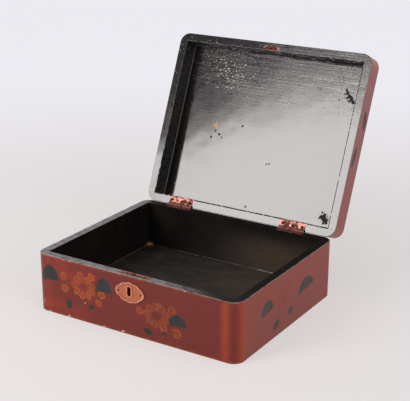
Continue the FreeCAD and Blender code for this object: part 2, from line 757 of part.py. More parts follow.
def place_on_front(piece):
    """Stand a piece drawn flat against the front wall, its Z towards the viewer."""
    piece.Placement = Placement(Vector(), Rotation(Vector(1, 0, 0), 90))
    bind(piece, "Placement.Base.x", "escutcheon_place")
    bind(piece, "Placement.Base.y", f"-{Y_OUT}")
    bind(piece, "Placement.Base.z", ESCUTCHEON_LEVEL)


def escutcheon_pins():
    """Two small-headed pins through the tips of the escutcheon."""
    group = subpart("Part::Feature", "escutcheon_pins")
    head, rise, plate = number("nail_head"), number("nail_rise"), number("escutcheon_plate")
    shank, buried = number("nail_shank"), number(f"{NAIL_LENGTH} - nail_seat")
    top = plate + rise
    profile = [(0, -buried), (shank, -buried), (shank, plate), (head, plate), (head, top), (0, top)]
    corners = [Vector(x, 0, z) for x, z in profile]
    nail = Part.Face(Part.makePolygon(corners + corners[:1])).revolve(Vector(), Vector(0, 0, 1), 360)
    reach = number("escutcheon_length / 2 - pin_inset")
    group.Shape = Part.makeCompound([nail.translated(Vector(sign * reach, 0, 0)) for sign in (-1, 1)])
    place_on_front(group)


# Strike plate

def strike_outline(sketch):
    """A long almond with its two tips cut square, towards the inner edge of the lid's rim."""
    x, half, middle = "staple_place", "strike_length / 2", f"({LOCK_FACE} - selvedge_width / 2)"
    rise = "(strike_radius - sqrt(strike_radius ^ 2 - strike_length ^ 2 / 4))"
    tip = f"(strike_width / 2 - {rise})"
    lower, upper = f"{middle} - {tip}", f"{middle} + {tip}"
    outline(sketch, [(f"{x} - {half}", lower), (f"{x} + {half}", lower), (f"{x} + {half}", upper),
                     (f"{x} - {half}", upper)],
            {0: ("Y", f"{middle} - strike_width / 2 + strike_radius"),
             2: ("Y", f"{middle} + strike_width / 2 - strike_radius")})


def strike_screw_places():
    middle = f"{LOCK_FACE} - selvedge_width / 2"
    return [(f"staple_place + {sign} * strike_screw_pitch / 2", middle) for sign in (-1, 1)]


def strike_plate():
    """The almond plate let into the lid's front rim, with the staple that the bolt goes through."""
    body = subpart("PartDesign::Body", "strike_plate")
    place_on_lid(body)
    plan = sketch_on(body, "strike_plan", "XY_Plane")
    strike_outline(plan)
    pad(body, plan, "strike_sheet")
    # The eye runs along the middle of the bolt, and the staple is centred on it
    middle = f"({BOLT_MIDDLE})"
    staple = sketch_on(body, "strike_staple", "XY_Plane", "-staple_drop")
    half = f"({WORKS_DEPTH} / 2 - staple_play)"
    rectangle(staple, "staple_place - staple_thickness / 2", f"{middle} - {half}",
              "staple_place + staple_thickness / 2", f"{middle} + {half}")
    pad(body, staple, "staple_drop")
    eye = sketch_on(body, "strike_eye", "YZ_Plane", "staple_place - staple_thickness")
    half = "(bolt_thickness / 2 + eye_play)"
    rectangle(eye, f"{middle} - {half}", "-staple_drop + eye_floor",
              f"{middle} + {half}", "-staple_drop + eye_floor + finger_height + 2 * eye_room")
    cut(body, eye, "2 * staple_thickness", along=True)
    holes = sketch_on(body, "strike_screw_holes", "XY_Plane")
    for x, y in strike_screw_places():
        circle(holes, x, y, "lock_screw_shank + screw_play")
    countersink(body, holes, "lock_screw_shank + screw_play", "strike_screw_head + screw_play", True)


def strike_seat(body):
    """Let the strike plate and its screws into the lid's front rail."""
    seat = sketch_on(body, "strike_seat", "XY_Plane")
    strike_outline(seat)
    cut(body, seat, "strike_sheet", along=True)
    pilots = sketch_on(body, "strike_pilots", "XY_Plane")
    for x, y in strike_screw_places():
        circle(pilots, x, y, "lock_screw_shank + screw_play")
    cut(body, pilots, "screw_length", along=True)


# Box: four finger-jointed walls and the bottom board

HINGES = {"left": "hinge_left", "right": "hinge_right"}
bottom_pegs_at = peg_places(BOTTOM_REBATE)
panel_pegs_at = peg_places(PANEL_REBATE)

for side in SIDES:
    wall_body = board(f"{side}_wall", side, "base_height")
    top_edges = outer_edges(number("base_height"))
    dress_edges(wall_body, "Chamfer", f"{side}_wall_top_bevel", "edge_bevel", top_edges)
    dress_edges(wall_body, "Chamfer", f"{side}_wall_foot_bevel", "edge_bevel", outer_edges(0))
    finger_joint(wall_body, side, "base_height", FINGERS_BASE, 0 if SIDES[side][0] else 1)
    board_rebate(wall_body, "0", "bottom_thickness", BOTTOM_REBATE)
    peg_holes(wall_body, bottom_pegs_at[side], "bottom_thickness", "bottom_peg_side",
              "peg_grip + peg_play", True)
    if side == "back":
        for hinge, hinge_x in HINGES.items():
            hinge_seat(wall_body, "base_height", False, hinge, hinge_x, NOTCH_RADIUS)
    if side == "front":
        lock_mortise(wall_body)

bottom = subpart("PartDesign::Body", "bottom_board")
bottom_plan = sketch_on(bottom, "bottom_plan", "XY_Plane")
rebate_outline(bottom_plan, BOTTOM_REBATE)
pad(bottom, bottom_plan, "bottom_thickness")
peg_holes(bottom, sum(bottom_pegs_at.values(), []), "0", "bottom_peg_side", "bottom_thickness", True)
pegs("bottom_pegs", bottom_pegs_at, "bottom_peg_side", "0", "bottom_thickness + peg_grip")

# Lid: four finger-jointed rails and the panel

for side in SIDES:
    rail = board(f"lid_{side}_rail", side, "lid_height")
    place_on_lid(rail)
    top_edges = outer_edges(number("lid_height"))
    dress_edges(rail, "Fillet", f"lid_{side}_rail_rounding", "lid_rounding", top_edges)
    dress_edges(rail, "Chamfer", f"lid_{side}_rail_bevel", "edge_bevel", outer_edges(0))
    finger_joint(rail, side, "lid_height", FINGERS_LID, 0 if SIDES[side][0] else 1)
    board_rebate(rail, "lid_height - panel_thickness", "panel_thickness", PANEL_REBATE)
    peg_holes(rail, panel_pegs_at[side], "lid_height - panel_thickness", "panel_peg_side",
              "peg_grip + peg_play", False)
    if side == "back":
        for hinge, hinge_x in HINGES.items():
            hinge_seat(rail, "0", True, hinge, hinge_x, "knuckle_radius + barrel_play")
    if side == "front":
        strike_seat(rail)

panel = subpart("PartDesign::Body", "lid_panel")
place_on_lid(panel)
panel_plan = sketch_on(panel, "panel_plan", "XY_Plane", "lid_height - panel_thickness")
rebate_outline(panel_plan, PANEL_REBATE)
pad(panel, panel_plan, "panel_thickness")
peg_holes(panel, sum(panel_pegs_at.values(), []), "lid_height", "panel_peg_side", "panel_thickness", False)
place_on_lid(pegs("lid_pegs", panel_pegs_at, "panel_peg_side", "lid_height - panel_thickness - peg_grip",
                  "panel_thickness + peg_grip"))

# Hinges

UPRIGHT = Rotation()
FLIPPED = Rotation(Vector(1, 0, 0), 180)
TOWARDS_INSIDE = Rotation(Vector(1, 0, 0), -90)

for hinge, hinge_x in HINGES.items():
    hinge_leaf(f"hinge_{hinge}_base_leaf", hinge_x, False)
    hinge_leaf(f"hinge_{hinge}_lid_leaf", hinge_x, True)
    hinge_pin(f"hinge_{hinge}_pin", hinge_x)
    spots = [(x, y, "-rim_gap / 2") for x, y in screw_places()]
    place_on_axis(screw_group(f"hinge_{hinge}_base_screws", spots, UPRIGHT), hinge_x, False)
    spots = [(x, y, "rim_gap / 2") for x, y in screw_places()]
    place_on_axis(screw_group(f"hinge_{hinge}_lid_screws", spots, FLIPPED), hinge_x, True)

# Lock, escutcheon and strike

lock_plate()
lock_case()
lock_bolt()
lock_rivets()
lock_spring()
small_screw = ("lock_screw_head", "lock_screw_shank", "lock_screw_length")
screw_group("lock_screws", [(x, LOCK_FACE, z) for x, z in lock_screw_places()], TOWARDS_INSIDE, small_screw)
escutcheon()
escutcheon_pins()
strike_plate()
strike_screw = ("strike_screw_head", "lock_screw_shank", "screw_length")
spots = [(x, y, "0") for x, y in strike_screw_places()]
place_on_lid(screw_group("strike_screws", spots, FLIPPED, strike_screw))

document.recompute()

# Every object has to be sound before anything is written
for thing in document.Objects:
    if "Invalid" in thing.State or "Error" in thing.State:
        raise RuntimeError(f"{thing.Name} is in error: {thing.State}")
for piece in subparts:
    if piece.Shape.isNull() or not piece.Shape.isValid():
        raise RuntimeError(f"{piece.Label} has no sound shape")

os.makedirs("parts", exist_ok=True)
for piece in subparts:
    piece.Shape.exportStep(f"parts/{piece.Label}.step")
    print(piece.Label, len(piece.Shape.Solids), round(piece.Shape.Volume, 2))
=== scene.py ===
"""A lacquered writing box with a hinged lid, a lock and painted flowers: its finishes and its studio."""

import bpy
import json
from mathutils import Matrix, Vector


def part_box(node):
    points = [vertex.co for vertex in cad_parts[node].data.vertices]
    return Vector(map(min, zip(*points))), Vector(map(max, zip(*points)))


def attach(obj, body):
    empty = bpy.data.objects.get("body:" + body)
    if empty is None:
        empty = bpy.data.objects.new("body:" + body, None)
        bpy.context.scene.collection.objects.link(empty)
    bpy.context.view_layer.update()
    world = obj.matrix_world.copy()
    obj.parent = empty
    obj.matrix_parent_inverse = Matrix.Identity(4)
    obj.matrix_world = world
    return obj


bl_info = {
    "name": "Lacquered Writing Box",
    "version": (1, 0, 0),
    "blender": (4, 5, 0),
    "location": "3D View > Sidebar > Writing Box",
    "description": "Finishes, painted flowers and studio for a lacquered writing box",
    "category": "Object",
}

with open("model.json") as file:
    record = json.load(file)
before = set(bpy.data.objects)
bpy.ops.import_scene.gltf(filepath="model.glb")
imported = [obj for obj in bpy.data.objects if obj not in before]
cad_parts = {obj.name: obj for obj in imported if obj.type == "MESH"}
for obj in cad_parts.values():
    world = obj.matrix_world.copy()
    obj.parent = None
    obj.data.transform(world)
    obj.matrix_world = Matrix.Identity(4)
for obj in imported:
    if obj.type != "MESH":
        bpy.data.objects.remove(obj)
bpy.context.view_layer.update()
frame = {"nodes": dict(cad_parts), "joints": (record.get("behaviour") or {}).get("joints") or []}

import json
import math
from collections import namedtuple
from functools import reduce

import bmesh
import bpy
from bpy.props import FloatProperty, FloatVectorProperty, IntProperty, PointerProperty
from mathutils import Matrix, Vector

MM = 0.001
NODES = frame["nodes"]

WALL_NODES = ("front_wall", "back_wall", "left_wall", "right_wall", "bottom_board")
LID_NODES = ("lid_front_rail", "lid_back_rail", "lid_left_rail", "lid_right_rail", "lid_panel")
HINGE_SIDES = ("left", "right")

# Sizes of the box in millimetres, read from the frame
HALF_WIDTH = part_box("right_wall")[1].x / MM
HALF_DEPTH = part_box("back_wall")[1].y / MM
RIM_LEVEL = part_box("front_wall")[1].z / MM
WALL = HALF_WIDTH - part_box("right_wall")[0].x / MM
FLOOR_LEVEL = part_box("bottom_board")[1].z / MM

# Sizes in millimetres that the open lid doesn't show in its own box
CORNER_RADIUS = 12.0
LID_HEIGHT = 24.8
LID_SKIN = 3.4
RIM_GAP = 0.3
LID_FOOT = RIM_LEVEL + RIM_GAP
PANEL_FACE = LID_HEIGHT - LID_SKIN

# The lid's hinge line, and the turn from the open lid to the closed one
LID_JOINT = next(joint for joint in frame["joints"] if joint["name"] == "lid_hinge")
HINGE_LINE = Vector(LID_JOINT["pos_m"])
LID_TURN = math.radians(LID_JOINT["range_deg"][1])


def colour(name, description, default):
    """A colour property in linear light."""
    return FloatVectorProperty(name=name, description=description, default=default, size=3,
                               min=0.0, max=1.0, subtype="COLOR")


class LacquerSettings(bpy.types.PropertyGroup):
    """Colours of the lacquer and of what shows where it has worn."""

    red: colour("Red", "Brownish red of the outside", (0.235, 0.030, 0.017))
    # Plum is also the colour of the painted shade on the right part of the front
    plum: colour("Plum", "Duller red where the lacquer has darkened", (0.130, 0.020, 0.016))
    # Rubbed red is also the colour of the painted highlights on the rounded corners
    rubbed: colour("Rubbed red", "Orange red where hands have thinned it", (0.350, 0.048, 0.012))
    black: colour("Black", "Black of the inside and the rims", (0.0075, 0.0065, 0.0060))
    dust: colour("Dust", "Brown dust on the inside", (0.056, 0.038, 0.027))
    bare: colour("Bare wood", "Wood where the lacquer is lost", (0.560, 0.300, 0.120))
    ground: colour("Ground", "Pale pinkish ground under the lacquer", (0.620, 0.430, 0.350))


class PaintSettings(bpy.types.PropertyGroup):
    """Colours and sizes of the painted flowers."""

    petal: colour("Petal", "Ochre of the petals", (0.300, 0.058, 0.014))
    petal_line: colour("Petal outline", "Lighter outline of a petal", (0.430, 0.092, 0.018))
    heart: colour("Flower heart", "Dark red middle of a flower", (0.165, 0.024, 0.020))
    leaf: colour("Leaf", "Grey green of the leaves", (0.017, 0.029, 0.029))
    leaf_line: colour("Leaf outline", "Thinner paint at a leaf's edge", (0.055, 0.034, 0.028))
    lift: FloatProperty(name="Thickness", description="Thickness of the paint on the lacquer",
                        default=0.05 * MM, unit="LENGTH")
    sides: IntProperty(name="Sides", description="Straight sides of a round petal", default=22, min=8)


class MetalSettings(bpy.types.PropertyGroup):
    """Colours of the metal fittings."""

    copper: colour("Copper", "Bright pink copper", (0.460, 0.205, 0.160))
    bright_edge: colour("Bright edge", "Pink copper polished by handling", (0.760, 0.400, 0.300))
    rubbed_copper: colour("Field copper", "Orange copper of the escutcheon", (0.470, 0.135, 0.062))
    patina: colour("Patina", "Dark red tarnish", (0.065, 0.018, 0.013))
    brass: colour("Brass", "Dull brass of the lock", (0.500, 0.370, 0.170))
    steel: colour("Steel", "Grey steel of the bolt and spring", (0.420, 0.410, 0.400))


class StudioSettings(bpy.types.PropertyGroup):
    """Floor, lamps and camera."""

    floor: colour("Floor", "Pale floor", (0.800, 0.765, 0.760))
    haze: colour("Background", "Pale wall far behind", (0.850, 0.840, 0.890))
    room: FloatProperty(name="Room light", description="Plain light from all round", default=0.365)
    key: FloatProperty(name="Key lamp", description="Brightness of the soft box", default=13.2)
    lens: FloatProperty(name="Lens", description="Focal length on a 36 mm frame", default=95.26)


class Graph:
    """A node tree. Its methods add the nodes that the finishes and the studio are written with."""

    def __init__(self, tree):
        self.tree = tree
        tree.nodes.clear()

    def add(self, kind, **settings):
        node = self.tree.nodes.new(kind)
        for key, value in settings.items():
            setattr(node, key, value)
        return node

    def put(self, socket, value):
        """Links another node's output, or writes a plain value."""
        if isinstance(value, bpy.types.NodeSocket):
            self.tree.links.new(value, socket)
        elif socket.type == "RGBA":
            socket.default_value = (*value, 1.0)
        else:
            socket.default_value = value

    def maths(self, operation, first, second=0.0):
        node = self.add("ShaderNodeMath", operation=operation)
        self.put(node.inputs[0], first)
        self.put(node.inputs[1], second)
        return node.outputs[0]

    def plus(self, first, second):
        return self.maths("ADD", first, second)

    def minus(self, first, second):
        return self.maths("SUBTRACT", first, second)

    def size_of(self, value):
        """A number without its sign."""
        return self.maths("ABSOLUTE", value)

    def times(self, *values):
        """The product of several numbers or masks."""
        return reduce(lambda product, value: self.maths("MULTIPLY", product, value), values)

    def either(self, *values):
        """The largest of several numbers or masks."""
        return reduce(lambda largest, value: self.maths("MAXIMUM", largest, value), values)

    def ramp(self, value, low, high, kind="SMOOTHSTEP"):
        """A step from 0 at low to 1 at high."""
        node = self.add("ShaderNodeMapRange", interpolation_type=kind, clamp=True)
        self.put(node.inputs["Value"], value)
        self.put(node.inputs["From Min"], low)
        self.put(node.inputs["From Max"], high)
        return node.outputs["Result"]

    def mix(self, amount, first, second):
        """Mixes two colours."""
        node = self.add("ShaderNodeMix", data_type="RGBA")
        self.put(node.inputs["Factor"], amount)
        self.put(node.inputs[6], first)
        self.put(node.inputs[7], second)
        return node.outputs[2]

    def over(self, tone, laid, *shares):
        """A colour laid over a tone, as thick as the product of its shares."""
        return self.mix(self.times(*shares), tone, laid)

    def blend(self, amount, first, second):
        """Mixes two plain numbers."""
        node = self.add("ShaderNodeMix", data_type="FLOAT")
        self.put(node.inputs[0], amount)
        self.put(node.inputs[2], first)
        self.put(node.inputs[3], second)
        return node.outputs[0]

    def split(self, vector):
        node = self.add("ShaderNodeSeparateXYZ")
        self.put(node.inputs[0], vector)
        return node.outputs

    def joined(self, x, y):
        """A flat vector from two numbers."""
        node = self.add("ShaderNodeCombineXYZ")
        self.put(node.inputs[0], x)
        self.put(node.inputs[1], y)
        return node.outputs[0]

    def length(self, vector):
        node = self.add("ShaderNodeVectorMath", operation="LENGTH")
        self.put(node.inputs[0], vector)
        return node.outputs["Value"]

    def show(self, amount, first, second, kind):
        """Mixes two shaders and makes the result the tree's surface."""
        node = self.add("ShaderNodeMixShader")
        for socket, value in zip(node.inputs, (amount, first, second)):
            self.put(socket, value)
        self.put(self.add(kind).inputs["Surface"], node.outputs[0])


class Finish(Graph):
    """One material. It measures in millimetres on the object's own coordinates."""

    def __init__(self, name, metallic=0.0, ior=1.5):
        self.material = bpy.data.materials.new(name)
        self.material.use_nodes = True
        super().__init__(self.material.node_tree)
        self.shader = self.add("ShaderNodeBsdfPrincipled")
        self.put(self.shader.inputs["Metallic"], metallic)
        self.put(self.shader.inputs["IOR"], ior)
        output = self.add("ShaderNodeOutputMaterial")
        self.put(output.inputs["Surface"], self.shader.outputs["BSDF"])
        self.place = self.mapped(self.add("ShaderNodeTexCoord").outputs["Object"], scale=1 / MM)

    def mapped(self, vector, scale=1.0, turn=(0, 0, 0), shift=(0, 0, 0), stretch=(1, 1, 1)):
        """Scales, turns and shifts a place."""
        node = self.add("ShaderNodeMapping")
        self.put(node.inputs["Vector"], vector)
        node.inputs["Scale"].default_value = [scale * share for share in stretch]
        node.inputs["Rotation"].default_value = turn
        node.inputs["Location"].default_value = shift
        return node.outputs["Vector"]

    def noise(self, size, detail=3.0, roughness=0.5, stretch=(1, 1, 1), shift=(0, 0, 0)):
        """Cloudy noise whose lumps are about size millimetres across, longer where stretch is over 1."""
        share = [1 / amount for amount in stretch]
        node = self.add("ShaderNodeTexNoise")
        self.put(node.inputs["Vector"], self.mapped(self.place, stretch=share, shift=shift))
        node.inputs["Scale"].default_value = 1 / size
        node.inputs["Detail"].default_value = detail
        node.inputs["Roughness"].default_value = roughness
        return node.outputs["Fac"]

    def patches(self, size, detail, roughness, low, high, stretch=(1, 1, 1), shift=(0, 0, 0)):
        """Patches of noise: 0 where it is under low and 1 where it is over high."""
        return self.ramp(self.noise(size, detail, roughness, stretch, shift), low, high)

    def spot(self, across, along, middle, size, ragged, soft=0.2):
        """1 inside a ragged spot of that size round a point, and 0 outside, with a soft edge."""
        from_middle = self.joined(self.minus(across, middle[0]), self.minus(along, middle[1]))
        distance = self.plus(self.length(from_middle), ragged)
        return self.ramp(distance, size, size * (1 - soft))

    def stroke(self, across, along, ends, width, ragged):
        """1 along a ragged stroke between two points, and 0 beside it."""
        start, end = Vector(ends[0]), Vector(ends[1])
        middle, half = (start + end) / 2, (end - start).length / 2
        turn = -math.atan2(end.y - start.y, end.x - start.x)
        home = Matrix.Rotation(turn, 3, "Z") @ Vector((middle.x, middle.y, 0))
        point = self.mapped(self.joined(across, along), turn=(0, 0, turn), shift=-home)
        on, beside, _ = self.split(point)
        past = self.either(self.minus(self.size_of(on), half), 0.0)
        return self.spot(past, beside, (0, 0), width / 2, ragged)

    def relief(self, parts, depth):
        """Bump from a sum of heights, each with its own share, depth metres deep in all."""
        total = 0.0
        for height, share in parts:
            total = self.plus(self.times(height, share), total)
        node = self.add("ShaderNodeBump")
        node.inputs["Distance"].default_value = depth
        self.put(node.inputs["Height"], total)
        self.put(self.shader.inputs["Normal"], node.outputs["Normal"])

    def colour(self, value):
        self.put(self.shader.inputs["Base Color"], value)

    def rough(self, value):
        self.put(self.shader.inputs["Roughness"], value)


# How far a point is outside the rounded outline and outside the square inner edge of the walls,
# and how far it is past the centres of the rounded corners along each side
Outline = namedtuple("Outline", "distance from_inner side_x side_y")


def outline(finish, x, y):
    """Where a point lies in the plan of the box."""
    side_x = finish.minus(finish.size_of(x), HALF_WIDTH - CORNER_RADIUS)
    side_y = finish.minus(finish.size_of(y), HALF_DEPTH - CORNER_RADIUS)
    furthest = finish.either(side_x, side_y)
    from_inner = finish.minus(furthest, CORNER_RADIUS - WALL)
    corner = finish.length(finish.joined(finish.either(side_x, 0.0), finish.either(side_y, 0.0)))
    reach = finish.plus(finish.maths("MINIMUM", furthest, 0.0), corner)
    return Outline(finish.minus(reach, CORNER_RADIUS), from_inner, side_x, side_y)


# Fades between two finishes, as the distances in millimetres where each begins and ends
RED_BEGINS = (0.50, 0.75)
OUTER_FACE = (0.1, 0.35)

# Indices of refraction: dull old lacquer and paint, and the lid, whose inside still mirrors
DULL_IOR = 1.33
MIRROR_IOR = 1.52

# Roughness of lacquer at its smoothest and its dullest, outside, inside, on the floor and in the lid
OUTSIDE_SHEEN = (0.20, 0.42)
INSIDE_SHEEN = (0.18, 0.34)
FLOOR_SHEEN = (0.34, 0.55)
LID_SHEEN = (0.07, 0.14)
MATT = 0.8

# Rubbed bands beside each rounded corner, partly wear and partly painted highlights: the middle from the
# corner's centre, and the half width. Then how strong they are at the left and at the right of the box
FRONT_BAND = (-3.0, 8.4)
SIDE_BAND = (3.5, 6.0)
BAND_HIGHLIGHT_STRENGTH = (0.35, 0.9)


def corner_rub_and_highlight(finish, x, edge):
    """Two upright bands at each rounded corner, where the curve begins and ends: rubbed wear and painted
    highlights.
    """
    bands = []
    for side, (middle, half) in ((edge.side_x, FRONT_BAND), (edge.side_y, SIDE_BAND)):
        bands.append(finish.ramp(finish.size_of(finish.minus(side, middle)), half, 0.0))
    strength = finish.blend(finish.ramp(x, -60.0, 60.0), *BAND_HIGHLIGHT_STRENGTH)
    return finish.times(finish.either(*bands), strength)


def red_lacquer(finish, colours, x, y, edge, rim_distance, foot_distance):
    """The outside: brownish red, clouded with plum, rubbed orange at the edges and chipped, with painted
    shade and light.
    """
    cloud = finish.patches(48, 3, 0.55, 0.30, 0.58, stretch=(1.8, 1.8, 0.8))
    # Painted shade: plum is laid over the front more and more towards its right, so cloud holds both plum
    # clouds and this painted shade
    front_painted_shade = finish.ramp(y, 7.0 - HALF_DEPTH, 2.0 - HALF_DEPTH)
    cloud = finish.either(cloud, finish.times(finish.ramp(x, -100.0, -40.0), front_painted_shade))
    # Painted light: the right side keeps only a quarter of the plum, so it reads lighter than the front
    right_side_painted_light = finish.ramp(x, HALF_WIDTH - 6.0, HALF_WIDTH - 1.0)
    cloud = finish.times(cloud, finish.blend(right_side_painted_light, 1.0, 0.25))
    tone = finish.mix(cloud, colours.red, colours.plum)
    brushed = finish.patches(1.6, 3, 0.6, 0.35, 0.75, stretch=(24, 24, 1), shift=(7, 3, 1))
    tone = finish.over(tone, colours.rubbed, brushed, 0.14)

    uneven = finish.noise(9, 4, 0.65, stretch=(1, 1, 2.0), shift=(21, 5, 9))
    foot_wear = finish.ramp(finish.plus(foot_distance, finish.times(uneven, -9.0)), -1.5, -4.5)
    rim_wear = finish.ramp(finish.plus(rim_distance, finish.times(uneven, -7.0)), -1.0, -3.5)
    # Rubbed wear together with painted highlights on the rounded corners
    corner_wear_and_highlight = finish.times(corner_rub_and_highlight(finish, x, edge), finish.ramp(uneven, 0.12, 0.50),
                               finish.ramp(edge.distance, -2.5, -0.5))
    worn = finish.either(foot_wear, finish.times(rim_wear, 0.7), corner_wear_and_highlight)
    tone = finish.over(tone, colours.rubbed, worn, 0.72)
    stain = finish.patches(5.5, 5, 0.7, 0.60, 0.74, shift=(2, 40, 3))
    tone = finish.over(tone, colours.plum, stain, 0.45)

    close = finish.either(finish.ramp(foot_distance, 1.6, 0.4), finish.ramp(rim_distance, 1.1, 0.35))
    close = finish.times(close, finish.ramp(edge.distance, -1.2, -0.3))
    grit = finish.noise(2.4, 2, 0.5, shift=(11, 17, 5))
    knocked = finish.patches(26, 2, 0.5, 0.50, 0.60, shift=(14, 3, 1))
    chip = finish.times(finish.ramp(finish.times(close, grit), 0.60, 0.64), knocked)
    return tone, chip


def black_lacquer(finish, colours):
    """The inside: black, with faint brown dust in clouds."""
    film = finish.patches(30, 4, 0.6, 0.40, 0.75, shift=(4, 8, 15))
    return finish.over(colours.black, colours.dust, film, 0.10)


def edge_wander(finish):
    """How far the painted line between red and black strays from the rim, in millimetres."""
    return finish.times(finish.noise(6, 3, 0.6, shift=(5, 5, 5)), 0.5)


# Colours of the base: a painted grey reflection on the rim, wear on the chipped rim edge, and the floor's
# open joint, brown at one end and a pale painted highlight at the other
RIM_REFLECTION_GREY = (0.16, 0.15, 0.145)
RIM_EDGE = (0.30, 0.26, 0.25)
JOINT_BROWN = (0.30, 0.22, 0.15)
JOINT_HIGHLIGHT = (0.50, 0.47, 0.42)


def worn_black(finish, colours, place, edge, rim_distance, on_floor):
    """The base's black: a painted grey reflection on the rim, dusty inside, with an open joint round the
    floor that is a painted highlight at its right end.
    """
    x, y, z = place
    black = black_lacquer(finish, colours)
    uneven = finish.noise(7, 5, 0.7, shift=(31, 2, 8))
    # Painted reflection: grey patches on the rim at its left front
    on_rim = finish.ramp(rim_distance, 0.5, 0.2)
    left_front_reflection = finish.ramp(finish.plus(x, y), 10.0, -60.0)
    black = finish.over(black, RIM_REFLECTION_GREY, on_rim, left_front_reflection, finish.ramp(uneven, 0.25, 0.60))
    rim_edge = finish.ramp(edge.distance, -1.6, -0.6)
    black = finish.over(black, RIM_EDGE, rim_edge, finish.ramp(uneven, 0.34, 0.52), on_rim, 0.6)

    right_end = finish.ramp(x, -30.0, 60.0)
    low = finish.ramp(rim_distance, 3.0, 30.0)
    black = finish.over(black, colours.dust, right_end, low, finish.ramp(uneven, 0.05, 0.55))
    scuffs = finish.patches(14, 5, 0.65, 0.30, 0.72, stretch=(2.5, 1, 1), shift=(9, 9, 2))
    black = finish.over(black, finish.mix(scuffs, colours.black, colours.dust), on_floor, 0.5)

    half_joint = (0.75, 0.25)
    at_floor = finish.ramp(finish.size_of(finish.minus(z, FLOOR_LEVEL)), *half_joint)
    at_wall = finish.ramp(finish.size_of(edge.from_inner), *half_joint)
    joint = finish.times(at_floor, at_wall, finish.ramp(uneven, 0.36, 0.56))
    # Painted highlight: towards the right the joint round the floor turns pale and stronger, a bright line
    # where floor meets walls; on the left it stays a brown open joint
    highlit_end = finish.ramp(x, 20.0, 40.0)
    joint = finish.times(joint, finish.blend(highlit_end, 0.35, 0.80))
    black = finish.mix(joint, black, finish.mix(highlit_end, JOINT_BROWN, JOINT_HIGHLIGHT))

    back_left = (WALL - HALF_WIDTH, HALF_DEPTH - WALL)
    nook = finish.spot(x, y, back_left, 12.0, finish.times(uneven, 9.0))
    near_floor = finish.ramp(z, FLOOR_LEVEL + 5.0, FLOOR_LEVEL)
    return finish.over(black, colours.bare, nook, near_floor, finish.ramp(uneven, 0.42, 0.62), 0.6)


def base_lacquer(colours):
    """The four walls and the bottom: red outside, black on the rims, inside and underneath."""
    finish = Finish("base_lacquer", ior=DULL_IOR)
    x, y, z = finish.split(finish.place)
    edge = outline(finish, x, y)
    rim_distance = finish.minus(RIM_LEVEL, z)
    below_rim = finish.ramp(finish.plus(rim_distance, edge_wander(finish)), *RED_BEGINS)
    above_foot = finish.ramp(z, *OUTER_FACE)
    red_part = finish.times(below_rim, above_foot, finish.ramp(edge.from_inner, *OUTER_FACE))
    on_floor = finish.ramp(z, FLOOR_LEVEL + 0.4, FLOOR_LEVEL + 0.1)

    red, chip = red_lacquer(finish, colours, x, y, edge, rim_distance, z)
    black = worn_black(finish, colours, (x, y, z), edge, rim_distance, on_floor)
    tone = finish.mix(red_part, black, red)
    finish.colour(finish.over(tone, colours.bare, chip, above_foot))

    satin = finish.noise(16, 4, 0.6, shift=(3, 12, 6))
    on_walls = finish.blend(satin, *INSIDE_SHEEN)
    inside = finish.blend(on_floor, on_walls, finish.blend(satin, *FLOOR_SHEEN))
    finish.rough(finish.blend(red_part, inside, finish.blend(satin, *OUTSIDE_SHEEN)))
    brushed = finish.noise(1.5, 3, 0.6, stretch=(26, 26, 1), shift=(7, 3, 1))
    grain = finish.noise(2.2, 3, 0.6)
    swell = finish.noise(34, 2, 0.5)
    finish.relief([(brushed, 1.0), (grain, 0.8), (swell, 14.0), (chip, -4.0)], 0.010 * MM)
    return finish.material


# Marks on the inside of the lid, in millimetres across from its middle and up from the hinged edge.
# A stroke is its two ends and its width, a spot is its middle and its size
TAN_CHIP = ((((-66.6, 104.6), (-61.4, 102.9)), 2.6), (((-64.9, 101.2), (-63.2, 106.6)), 2.4),
            (((-66.4, 101.9), (-61.9, 105.6)), 2.0))
DARK_MARKS = (((-62.8, 97.0), 1.1), ((-57.1, 93.4), 1.5), ((-67.2, 88.8), 1.3),
              ((-52.5, 90.0), 1.0), ((-28.1, 107.5), 1.1), ((13.5, 68.2), 1.1), ((16.8, 69.2), 0.9),
              ((-1.7, 14.7), 1.5), ((107.5, 110.5), 1.2), ((109.0, 106.0), 1.2), ((96.0, 26.0), 1.3),
              ((103.0, 15.0), 1.6), ((87.0, 154.5), 0.9))
SOFT_MARKS = (((61.0, 164.3), 5.0), ((100.0, 20.0), 9.0))
CRACK = ((((93.2, 166.8), (96.8, 161.4)), 2.4), (((96.4, 161.8), (101.0, 158.2)), 2.8),
         (((100.2, 158.8), (104.6, 153.4)), 3.6), (((95.0, 163.4), (92.4, 161.9)), 1.6),
         (((98.8, 159.4), (95.2, 157.9)), 2.4), (((102.6, 155.8), (98.9, 154.6)), 2.2))
SMUDGE = ((((96.5, 20.5), (101.5, 17.5)), 5.5), (((99.0, 24.0), (100.0, 15.0)), 3.0),
          (((93.0, 19.0), (98.0, 20.0)), 1.8))
SPECKLES = ((-58.0, 166.0), 42.0)

# Colours of the lid: wear in flecks of ground and a thin brown film, and a painted highlight along the
# left inner corner
FLECK = (0.62, 0.60, 0.56)
THIN_FILM = (0.20, 0.18, 0.165)
CORNER_HIGHLIGHT = (0.22, 0.22, 0.20)


def lid_marks(finish, x, from_hinge, ragged):
    """Masks of the tan chip, of the dark marks and of the soft marks on the inside of the lid."""
    slight = finish.times(ragged, 0.35)
    uneven = finish.times(ragged, 0.6)
    tan = finish.either(*[finish.stroke(x, from_hinge, *part, slight) for part in TAN_CHIP])
    dark = finish.either(*[finish.spot(x, from_hinge, *mark, slight) for mark in DARK_MARKS],
                         *[finish.stroke(x, from_hinge, *part, uneven) for part in CRACK],
                         *[finish.stroke(x, from_hinge, *part, ragged) for part in SMUDGE])
    soft = finish.either(*[finish.spot(x, from_hinge, *mark, ragged, soft=0.9) for mark in SOFT_MARKS])
    return tan, dark, soft


